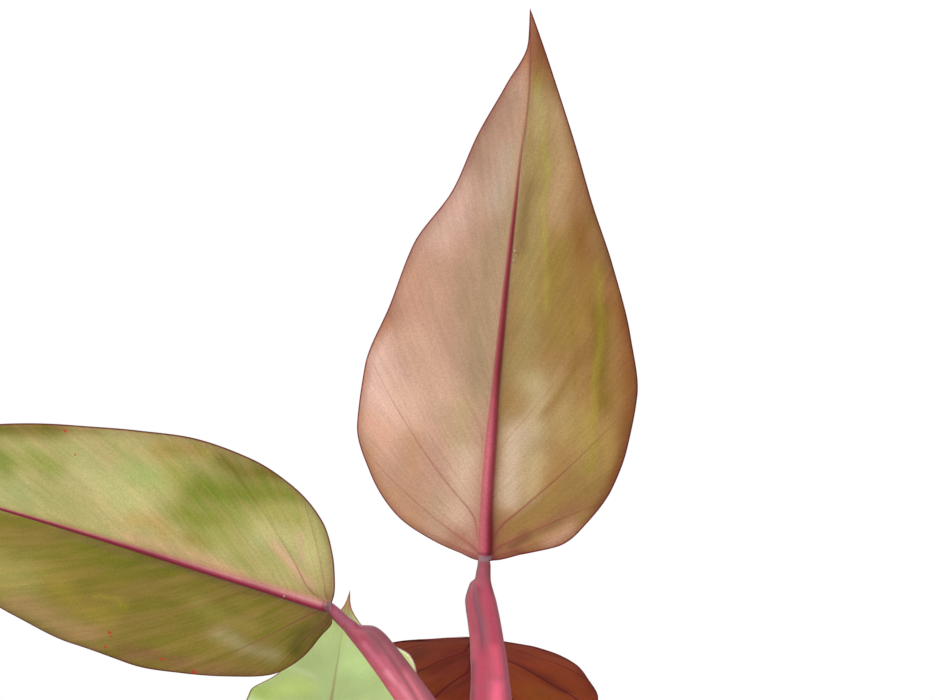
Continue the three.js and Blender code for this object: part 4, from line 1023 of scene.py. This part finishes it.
def makeStalk(name, leaf, material):
    # The section is carried along the curve: round over the rib's foot and the neck, then an ease into
    # the winged outline, with a crease between the wing and the round of the stalk
    looks, setup = stalkLooks, stalkMesh
    rings, around, collar = setup["rings"], setup["around"], setup["collar"]
    samples, ways, travelled = measured(leaf["stalk"], 600)
    length = travelled[-1]
    distance = -collar + (length + collar) * np.linspace(0, 1, rings) ** setup["ringPower"]
    within = np.clip(distance, 0, None)
    centre, way = (np.stack([np.interp(length - within, travelled, values[:, k]) for k in range(3)],
                            axis=-1) for values in (samples, ways))
    _, ribStart = bezier(leaf["midrib"], np.array([0.0]))
    near = np.clip(1 - distance / setup["straighten"], 0, 1)[:, None]
    way = unit(way * (1 - near) + ribStart * near)
    azimuth = math.radians(leaf["azimuth"])
    inward = np.array([-math.cos(azimuth), -math.sin(azimuth), setup["lean"]])
    share = (1 - within / length)[:, None]
    upper = squareTo(inward * (1 - share) + np.array(leaf["faceBase"]) * share, way)
    sideways = np.cross(way, upper)
    centre = centre + ribStart * np.clip(-distance, 0, None)[:, None]
    foot = smoothstep(distance, length - setup["footEase"], length)[:, None]
    depth = through(distance, setup["depthPlaces"], setup["depths"])[:, None]
    depth = depth * (1 - setup["footFlat"] * foot)
    section = closedSpline(wingedSection, around)
    angle = np.arange(around) / around * fullTurn - math.pi / 2
    positive, negative = (through(within, outlinePlaces, widths)[:, None] for widths in leaf["outline"])
    winged = smoothstep(distance[:, None], leaf["wingStart"], leaf["wingStart"] + setup["wingEase"])
    rounded = np.where(np.cos(angle) > 0, positive, negative) * np.cos(angle)
    spread = np.where(section[:, 0] > 0, positive, negative) * section[:, 0]
    inside = 1 - setup["collarThin"] * smoothstep(-distance, 0, collar)[:, None]
    sideBy = (rounded * (1 - winged) + spread * winged) * (1 - setup["footNarrow"] * foot) * inside
    upBy = (depth * np.sin(angle) * (1 - winged) + section[:, 1] * depth * winged) * inside
    below = np.repeat(distance[:, None], around, axis=1)
    across = sideBy / np.where(sideBy > 0, positive, negative)
    belly = np.broadcast_to(np.sin(angle) < 0.2, below.shape)
    run, sink, wide, creaseHex = looks.get(f"crease{name}", looks["crease"])
    track = np.interp(distance, *zip(*run))[:, None]
    starts, fades, ends = run[0][0], run[-2][0], run[-1][0] + 12
    fading = smoothstep(below, starts - 0.8, starts + 1.2) * (1 - smoothstep(below, fades, ends))
    crease = np.exp(-(((across - track) / wide) ** 2)) * belly * fading
    upBy = upBy + sink * crease
    points = centre[:, None] + sideways[:, None] * sideBy[..., None] + upper[:, None] * upBy[..., None]

    # Sheath: over its last stretch the skin moves onto a sleeve round the stem that thins to its edges
    # and to its lower end
    reach = setup["sheath"]
    closing = smoothstep(distance, length - reach, length - 0.25 * reach)[:, None, None]
    thinning = smoothstep(distance, length - 0.8 * reach, length)[:, None]
    tangent = np.array([-math.sin(azimuth), math.cos(azimuth), 0])
    turn = np.sign((sideways[-1] * tangent).sum())
    bearing = azimuth + setup["clasp"] * turn * sideBy / (setup["stemRadius"] + 1)
    outward = np.clip(0.55 - 0.55 * section[:, 1], 0, 1)
    radius = setup["stemRadius"] + outward * (0.3 + setup["sheathThickness"] * (1 - thinning))
    height = centre[:, 2:] - setup["sheathDrop"] * thinning + 0.3 * np.abs(sideBy)
    sleeve = np.stack([radius * np.cos(bearing), radius * np.sin(bearing), height], axis=-1)
    points = points * (1 - closing) + sleeve * closing
    points, faces = closedTube(points, [centre[0], points[-1].mean(axis=0)], down=True)

    # Colour: strokes along the skin, among them painted highlights and painted shade, a grey-mauve rim that
    # is partly dusty bloom and partly painted sheen, and greener where it clasps the stem
    tint = np.broadcast_to(linear(looks["skin"]), (*below.shape, 3))
    tint = paintStrokes(tint, below, sideBy, looks.get(f"strokes{name}", looks["strokes"]))
    rimShare = np.where(across < 0, *looks["rimShare"].get(name, (0.6, 0.6)))
    onRim = smoothstep(np.abs(across), 0.86, 1) * smoothstep(below, 2, 10)
    for hexText, weight in (
            (looks["rim"], rimShare * onRim), (creaseHex, 0.75 * crease),
            (looks["wingTop"], 0.6 * (~belly) * smoothstep(below, 10, 20)),
            (looks["base"], 0.75 * smoothstep(below, length - 34, length - 4)),
            (looks["collar"], 0.85 * (1 - smoothstep(below, -0.2, 0.5)))):
        tint = blend(tint, hexText, weight)
    tints = np.concatenate([tint.reshape(-1, 3), tint[0, :1], tint[-1, :1]])
    round01 = np.abs(angle[None] + math.pi / 2 - math.pi) / math.pi
    uv = np.stack([np.repeat(round01, rings, axis=0), below / 100], axis=-1)
    uv = np.concatenate([uv.reshape(-1, 2), uv[0, :1], uv[-1, :1]])
    piece = makePiece(f"leafStalk{name}", points, faces, [material], fields={"tint": tints},
                      maps={"stalk": uv})
    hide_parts(f"petiole_{name}")


stalkSkin = stalkMaterial("strawberryStalkSkin")
for leafName, leafData in leaves.items():
    makeStalk(leafName, leafData, stalkSkin)
print("stalks made")


# Stem and the rolled new leaf at its tip

stemShape = {
    "bottom": 66, "top": 200, "soilLevel": 118, "buriedRadius": 7.9, "radius": 7.0, "rings": 170,
    "around": 64, "scarSwell": 0.7, "scarDip": 0.25, "bumps": 0.15, "bumpLength": 7,
}


def makeStem():
    # Turned column whose radius swells at each leaf scar, closed by a pole at both ends
    shape = stemShape
    scars = sorted(leaf["stalk"][0][2] - 3 for leaf in leaves.values())
    heights = np.linspace(shape["bottom"], shape["top"], shape["rings"])
    radius = np.where(heights < shape["soilLevel"] + 2, shape["buriedRadius"], shape["radius"])
    for z in scars:
        swell = shape["scarSwell"] * np.exp(-(((heights - z) / 1.3) ** 2))
        radius = radius + swell - shape["scarDip"] * np.exp(-(((heights - z + 3) / 1.2) ** 2))
    radius = radius * np.sqrt(np.clip((shape["top"] + 1.5 - heights) / 5, 0.2, 1))
    ring = circle(shape["around"])
    z = np.repeat(heights[:, None], shape["around"], axis=1)
    rings = np.concatenate([radius[:, None, None] * ring[None], z[..., None]], axis=-1)
    bumps = ripple(rings * [1, 1, 0.5], shape["bumpLength"], seed=5) * shape["bumps"]
    rings[..., :2] += ring[None] * bumps[..., None]
    points, faces = closedTube(rings, [[0, 0, shape["bottom"]], [0, 0, shape["top"]]])
    scar = np.zeros(len(points))
    for height in scars:
        scar = np.maximum(scar, np.exp(-(((points[:, 2] - height - 0.4) / 1.6) ** 2)))

    # Fleshy stem: smooth olive skin, with corky brown rings where old stalks and sheaths came off
    material, tree = newMaterial("oliveStemSkin")
    mark = add(tree, "Attribute", attribute_name="scar")
    place = add(tree, "TexCoord")
    blotch = add(tree, "TexNoise", [place, 140, 4])
    fibre = add(tree, "Mapping", [place, (900, 900, 90)])
    fibre = add(tree, "TexNoise", [fibre, 1, 2])
    skin = add(tree, "ValToRGB", [blotch], stops=[(0.3, "#5c6a30"), (0.5, "#77763a"), (0.68, "#8e6f48")])
    cork = add(tree, "Math", [blotch, 0.7, mark], operation="MULTIPLY_ADD")
    cork = add(tree, "MapRange", [cork, 0.6, 1.1])
    colour = add(tree, "Mix", [cork, skin, "#6a4a30"])
    finishMaterial(tree, colour, 0.6, add(tree, "Bump", [fibre, 0.4, 0.0005]), {"IOR": 1.42})
    piece = makePiece("leafStem", points, faces, [material], fields={"scar": scar})
    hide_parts("stem")


makeStem()

spearShape = {"height": 62, "radius": 5.2, "rollTurns": 1.6, "overlap": 0.12, "rings": 90, "around": 72,
              "seat": stemShape["top"] + 0.3, "leanX": 5, "leanY": 2}


def makeNewLeaf():
    # Spindle with the overlap of the rolled blade: the radius falls by a step along a slow spiral
    shape = spearShape
    rings, around = shape["rings"], shape["around"]
    share = np.linspace(0, 1, rings)[:, None]
    swell = np.sin(math.pi * (0.3 + 0.7 * share)) ** 0.75 * shape["radius"]
    turn = np.arange(around) / around
    spiral = (turn[None] + share * shape["rollTurns"] / 3) % 1
    step = smoothstep(spiral, 0, 0.06) - spiral
    radius = swell * (1 - shape["overlap"] * 0.5 + shape["overlap"] * 0.5 * step)
    x = radius * np.cos(turn * fullTurn) + shape["leanX"] * share**2
    y = radius * np.sin(turn * fullTurn) + shape["leanY"] * share**2
    z = np.repeat(shape["seat"] + shape["height"] * share, around, axis=1)
    points, (quads, fans) = closedTube(np.stack([x, y, z], axis=-1), [[0, 0, shape["seat"]]])
    faces = quads, fans[:around]  # the last ring is already a point
    fromSeam = np.minimum(spiral, 1 - spiral)
    seam = np.append(np.exp(-((fromSeam / 0.03) ** 2)), 0)
    uv = np.stack([fromSeam, np.repeat(share, around, axis=1)], axis=-1)
    uv = np.concatenate([uv.reshape(-1, 2), [[0, 0]]])

    # Unopened leaf: moist, thin and glossy, red at the tip and green-gold at the foot
    material, tree = newMaterial("rolledLeafSkin")
    mark = add(tree, "Attribute", attribute_name="seam")
    lengthwise = add(tree, "UVMap", uv_map="roll")
    upwards = add(tree, "SeparateXYZ", [lengthwise], "Y")
    skin = add(tree, "ValToRGB", [upwards], stops=[(0.0, "#b5965c"), (0.35, "#d08a72"), (1.0, "#b5434c")])
    streak = add(tree, "Mapping", [lengthwise, (40, 5, 1)])
    streak = add(tree, "TexNoise", [streak, 1, 3])
    colour = shaded(tree, skin, (streak, 0.3, 0.7, 0.85, 1.12))
    dark = add(tree, "Math", [mark, 0.7], operation="MULTIPLY")
    colour = add(tree, "Mix", [dark, colour, "#7a2f3a"])
    normal = add(tree, "Bump", [streak, 0.25, 0.0005])
    finishMaterial(tree, colour, 0.35, normal, {"IOR": 1.42, "Coat Weight": 0.2, "Coat Roughness": 0.2})
    piece = makePiece("rolledLeaf", points, faces, [material], fields={"seam": seam}, maps={"roll": uv})
    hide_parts("new_leaf")


makeNewLeaf()
print("stem and rolled leaf made")


# Pot and soil

potShape = {
    "height": 138, "rimRadius": 80, "footRadius": 52, "wall": 6, "collar": 32, "collarStep": 3, "floor": 8,
    "holeRadius": 6, "holeCircle": 27, "segments": 200, "uneven": 0.25,
}
potShape["wallTop"] = potShape["rimRadius"] - potShape["collarStep"] - 1
potShape["collarBottom"] = potShape["height"] - potShape["collar"]


def innerRadius(z):
    # The straight taper from the foot to the collar, less the wall
    slope = (potShape["wallTop"] - potShape["footRadius"]) / potShape["collarBottom"]
    return potShape["footRadius"] + slope * z - potShape["wall"]


def roundedProfile(profile, step, rounds):
    # Points every few millimetres along the outline, with its corners cut again and again
    profile = np.asarray(profile, float)
    length = np.concatenate([[0], np.cumsum(np.linalg.norm(np.diff(profile, axis=0), axis=1))])
    places = np.unique(np.concatenate([np.arange(0, length[-1], step), length - 0.8, length + 0.8, length]))
    places = places[(places >= 0) & (places <= length[-1])]
    line = np.stack([np.interp(places, length, profile[:, k]) for k in (0, 1)], axis=-1)
    for _ in range(rounds):
        line[1:-1] = 0.25 * line[:-2] + 0.5 * line[1:-1] + 0.25 * line[2:]
    return line


def terracotta():
    # Low-fired earthenware: matt, sandy orange clay with turning lines and pale salts that water leaves
    material, tree = newMaterial("unglazedTerracotta")
    place = add(tree, "TexCoord")
    blotch = add(tree, "TexNoise", [place, 22, 5, 0.6])
    sand = add(tree, "TexNoise", [place, 900, 3])
    turned = add(tree, "Mapping", [place, (4, 4, 520)])
    turned = add(tree, "TexNoise", [turned, 1, 2])
    clay = add(tree, "ValToRGB", [blotch], stops=[(0.3, "#a85a3c"), (0.52, "#b96b4a"), (0.72, "#c67d5b")])
    height = add(tree, "SeparateXYZ", [place], "Z")
    lowBand = add(tree, "MapRange", [height, 0.0, 0.07, 0.62, 0.2])
    salts = add(tree, "TexNoise", [place, 34, 6, 0.7])
    salts = add(tree, "MapRange", [salts, 0.5, 0.7])
    salts = add(tree, "Math", [salts, lowBand], operation="MULTIPLY")
    colour = add(tree, "Mix", [salts, clay, "#d9c3b2"])
    colour = shaded(tree, colour, (sand, 0.3, 0.7, 0.9, 1.08), (turned, 0.3, 0.7, 0.96, 1.04))
    relief = add(tree, "Math", [turned, 1.4, sand], operation="MULTIPLY_ADD")
    normal = add(tree, "Bump", [relief, 0.35, 0.0005])
    roughness = add(tree, "MapRange", [salts, 0, 1, 0.82, 0.95])
    finishMaterial(tree, colour, roughness, normal, {"IOR": 1.5, "Specular IOR Level": 0.3})
    return material


def makePot():
    # Outline turned round the axis, hand-thrown a little uneven, with three drain holes cut through
    shape = potShape
    top, rim, foot, floor = shape["height"], shape["rimRadius"], shape["footRadius"], shape["floor"]
    collar = shape["collarBottom"]
    profile = [
        [0, 0], [foot - 1.5, 0], [foot, 1.5], [shape["wallTop"], collar], [rim - 2.2, collar + 0.6],
        [rim - 1.5, collar + 3], [rim, top - 2], [rim - 2, top], [innerRadius(top) + 2, top],
        [innerRadius(top), top - 2], [innerRadius(floor), floor], [0, floor],
    ]
    line = roundedProfile(profile, 2.5, 2)
    line[line[:, 1] < 0.4, 1] = 0
    line = line[1:-1, None]
    ring = circle(shape["segments"])
    rings = np.concatenate([line[..., :1] * ring, np.repeat(line[..., 1:], len(ring), axis=1)], axis=-1)
    uneven = ripple(rings, 70, seed=2) * shape["uneven"] - 0.3
    rings[..., :2] *= (1 + uneven / np.maximum(line[..., 0], 30))[..., None]
    points, faces = closedTube(rings, [[0, 0, 0], [0, 0, floor]])
    pot = makePiece("terracottaPot", points, faces, [terracotta()])
    drills = []
    for k in range(3):
        turn = k / 3 * fullTurn + math.pi / 2
        at = (shape["holeCircle"] * mm * math.cos(turn), shape["holeCircle"] * mm * math.sin(turn), 0.004)
        bpy.ops.mesh.primitive_cylinder_add(vertices=48, radius=shape["holeRadius"] * mm, depth=0.03,
                                            location=at)
        cut = pot.modifiers.new(f"drain{k}", "BOOLEAN")
        cut.operation, cut.solver, cut.object = "DIFFERENCE", "EXACT", bpy.context.object
        drills.append(bpy.context.object)
    cutMesh = bpy.data.meshes.new_from_object(pot.evaluated_get(bpy.context.evaluated_depsgraph_get()))
    pot.modifiers.clear()
    pot.data = cutMesh
    for drill in drills:
        bpy.data.objects.remove(drill)
    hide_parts("pot")


makePot()

soilLook = {
    "level": 118, "gap": 0.6, "floor": 8.4, "holeRadius": 8.4, "holeFloor": 65.5, "rings": 70,
    "around": 220, "mound": 5, "lumps": 1.1, "lumpLength": 26, "grainsFrom": 13, "grainsTo": 6,
    "crumbs": ((5.5, 8, 0.7), (2.6, 9, 0.35)),  # length, seed and height of each swell of the surface
}
# Loose grains: how many, their sizes, how flat, rings and columns of each ball, seed; then the
# material's name, its colours, the scale of its blotches and its roughness
grains = {
    "barkChips": ((620, (2.2, 5.2), (0.22, 0.5), 4, 8, 11),
                  ("fineBark", [(0.3, "#4a2f1e"), (0.5, "#6d4a30"), (0.72, "#94714e")], 90, 0.9)),
    "perliteGrains": ((170, (1.0, 2.1), (0.7, 1.0), 4, 7, 12),
                      ("expandedPerlite", [(0.3, "#b9b2a6"), (0.6, "#e6e1d8")], 260, 0.85)),
}


def soilMaterial(name, stops, scale, roughness):
    # Potting mix: damp peat between bark chips, all of it matt and crumbly
    material, tree = newMaterial(name)
    place = add(tree, "TexCoord")
    mix = add(tree, "TexNoise", [place, scale, 6, 0.7])
    crumbs = add(tree, "TexNoise", [place, scale * 6, 3])
    colour = add(tree, "ValToRGB", [mix], stops=stops)
    normal = add(tree, "Bump", [crumbs, 0.7, 0.001])
    finishMaterial(tree, colour, roughness, normal, {"IOR": 1.45, "Specular IOR Level": 0.25})
    return material


def soilHeight(xy):
    # The mound rises towards the stem, with lumps of a few millimetres
    look, edge = soilLook, innerRadius(soilLook["level"])
    inside = edge - np.linalg.norm(xy, axis=-1)
    mound = look["mound"] * np.clip(inside / edge, 0, 1) ** 0.6
    lumps = look["lumps"] * ripple(xy, look["lumpLength"], seed=3) * smoothstep(inside, 0, 8)
    return look["level"] - 3 + mound + lumps


def makeSoil():
    # Polar sheet from the pot's floor up its wall, over the mound and down the hole for the stem
    look, ring = soilLook, circle(soilLook["around"])
    radii = np.linspace(look["holeRadius"], innerRadius(look["level"]) - look["gap"], look["rings"])
    xy = radii[::-1, None, None] * ring[None]
    crumbs = sum(height * ripple(xy, length, seed=seed) for length, seed, height in look["crumbs"])
    sheet = np.concatenate([xy, (soilHeight(xy) + crumbs)[..., None]], axis=-1)
    low = np.full((len(ring), 3), float(look["floor"]))
    low[:, :2] = (innerRadius(9) - look["gap"]) * ring
    hole = sheet[-1] * [1, 1, 0] + [0, 0, look["holeFloor"]]
    rings = np.concatenate([low[None], sheet, hole[None]])
    points, faces = closedTube(rings, [[0, 0, look["floor"]], [0, 0, look["holeFloor"]]])
    peat = soilMaterial("dampPeat", [(0.3, "#241a13"), (0.5, "#3a2a1f"), (0.7, "#57402e")], 160, 0.95)
    piece = makePiece("pottingPeat", points, faces, [peat])
    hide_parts("soil")


def rotated(first, second, angle):
    # Turns pairs of coordinates by the angle of each grain
    cos, sin = np.cos(angle)[:, None], np.sin(angle)[:, None]
    return first * cos - second * sin, first * sin + second * cos


def scatter(name, count, sizes, flatness, rows, columns, seed, material):
    # Closed uneven pebbles: a ball of few faces for each, squashed, turned and set on the mound
    draw = np.random.default_rng(seed)
    edge = innerRadius(soilLook["level"]) - soilLook["grainsTo"]
    radius = np.sqrt(draw.uniform((soilLook["grainsFrom"] / edge) ** 2, 1, count)) * edge
    turn = draw.uniform(0, fullTurn, count)
    xy = np.stack([radius * np.cos(turn), radius * np.sin(turn)], axis=-1)
    size = draw.uniform(*sizes, (count, 1)) * np.stack([np.ones(count), draw.uniform(0.45, 0.8, count),
                                                        draw.uniform(*flatness, count)], axis=-1)
    pebble, faces = closedTube(ball(rows, columns), [[0, 0, 1], [0, 0, -1]], down=True)
    pebble = np.sign(pebble) * np.abs(pebble) ** 0.7
    shapes = pebble[None] * size[:, None] * (1 + draw.uniform(-0.22, 0.22, (count, len(pebble), 1)))
    yaw, pitch = draw.uniform(0, fullTurn, count), draw.normal(0, 0.35, count)
    x, z = rotated(shapes[..., 0], shapes[..., 2], pitch)
    x, y = rotated(x, shapes[..., 1], yaw)
    lift = soilHeight(xy) + 0.6 * size[:, 2]
    points = np.stack([x, y, z], axis=-1) + np.concatenate([xy, lift[:, None]], axis=-1)[:, None]
    shift = (np.arange(count) * len(pebble))[:, None, None]
    faces = [(part + shift).reshape(-1, part.shape[1]) for part in faces]
    piece = makePiece(name, points.reshape(-1, 3), faces, [material], smooth=False)


makeSoil()
for grainName, (shaping, looks) in grains.items():
    scatter(grainName, *shaping, soilMaterial(*looks))
print("pot and soil made")


# Studio: white paper floor, an even pale room and a soft key light from the upper left

studio = {
    "floorHalf": 3.0, "roomLight": 0.42, "aim": (0, 0, 0.32),
    "lamps": {
        "key": {"at": (-0.9, -1.25, 1.15), "size": 1.6, "power": 21, "colour": "#fff6ea"},
        "fill": {"at": (1.3, -1.0, 0.5), "size": 1.2, "power": 3, "colour": "#f2f6ff"},
        "back": {"at": (0.2, 1.2, 1.5), "size": 1.0, "power": 10, "colour": "#ffffff"},
    },
}


def makeStudio():
    # Floor, room light and three lamps, each turned towards the aim
    half = studio["floorHalf"]
    material, tree = newMaterial("paperBackdrop")
    fibre = add(tree, "TexNoise", [add(tree, "TexCoord"), 300, 2])
    colour = add(tree, "ValToRGB", [fibre], stops=[(0.3, "#f1f0ee"), (0.7, "#f6f5f3")])
    finishMaterial(tree, colour, 0.9, None, {"Specular IOR Level": 0.2})
    mesh = bpy.data.meshes.new("floor")
    mesh.from_pydata([(-half, -half, 0), (half, -half, 0), (half, half, 0), (-half, half, 0)], [],
                     [(0, 1, 2, 3)])
    mesh.materials.append(material)
    newObject("floor", mesh)

    world = bpy.data.worlds.new("room")
    world.use_nodes = True
    tree = world.node_tree
    tree.nodes.clear()
    seen = add(tree, "LightPath", output="Is Camera Ray")
    bright = add(tree, "MapRange", [seen, 0, 1, studio["roomLight"], 1.0])
    glow = add(tree, "Background", {"Color": (1, 1, 1, 1), "Strength": bright})
    tree.links.new(glow, tree.nodes.new("ShaderNodeOutputWorld").inputs["Surface"])
    bpy.context.scene.world = world

    for name, setup in studio["lamps"].items():
        lamp = bpy.data.lights.new(name, "AREA")
        lamp.shape, lamp.size, lamp.energy = "DISK", setup["size"], setup["power"]
        lamp.color = tuple(linear(setup["colour"]))
        light = newObject(name, lamp)
        light.location = setup["at"]
        x, y, z = np.array(studio["aim"]) - np.array(setup["at"])
        light.rotation_euler = (math.atan2(math.hypot(x, y), -z), 0, math.atan2(-x, y))
        light.visible_camera = False


makeStudio()
bpy.context.scene.view_settings.view_transform = "Standard"
print("studio made")
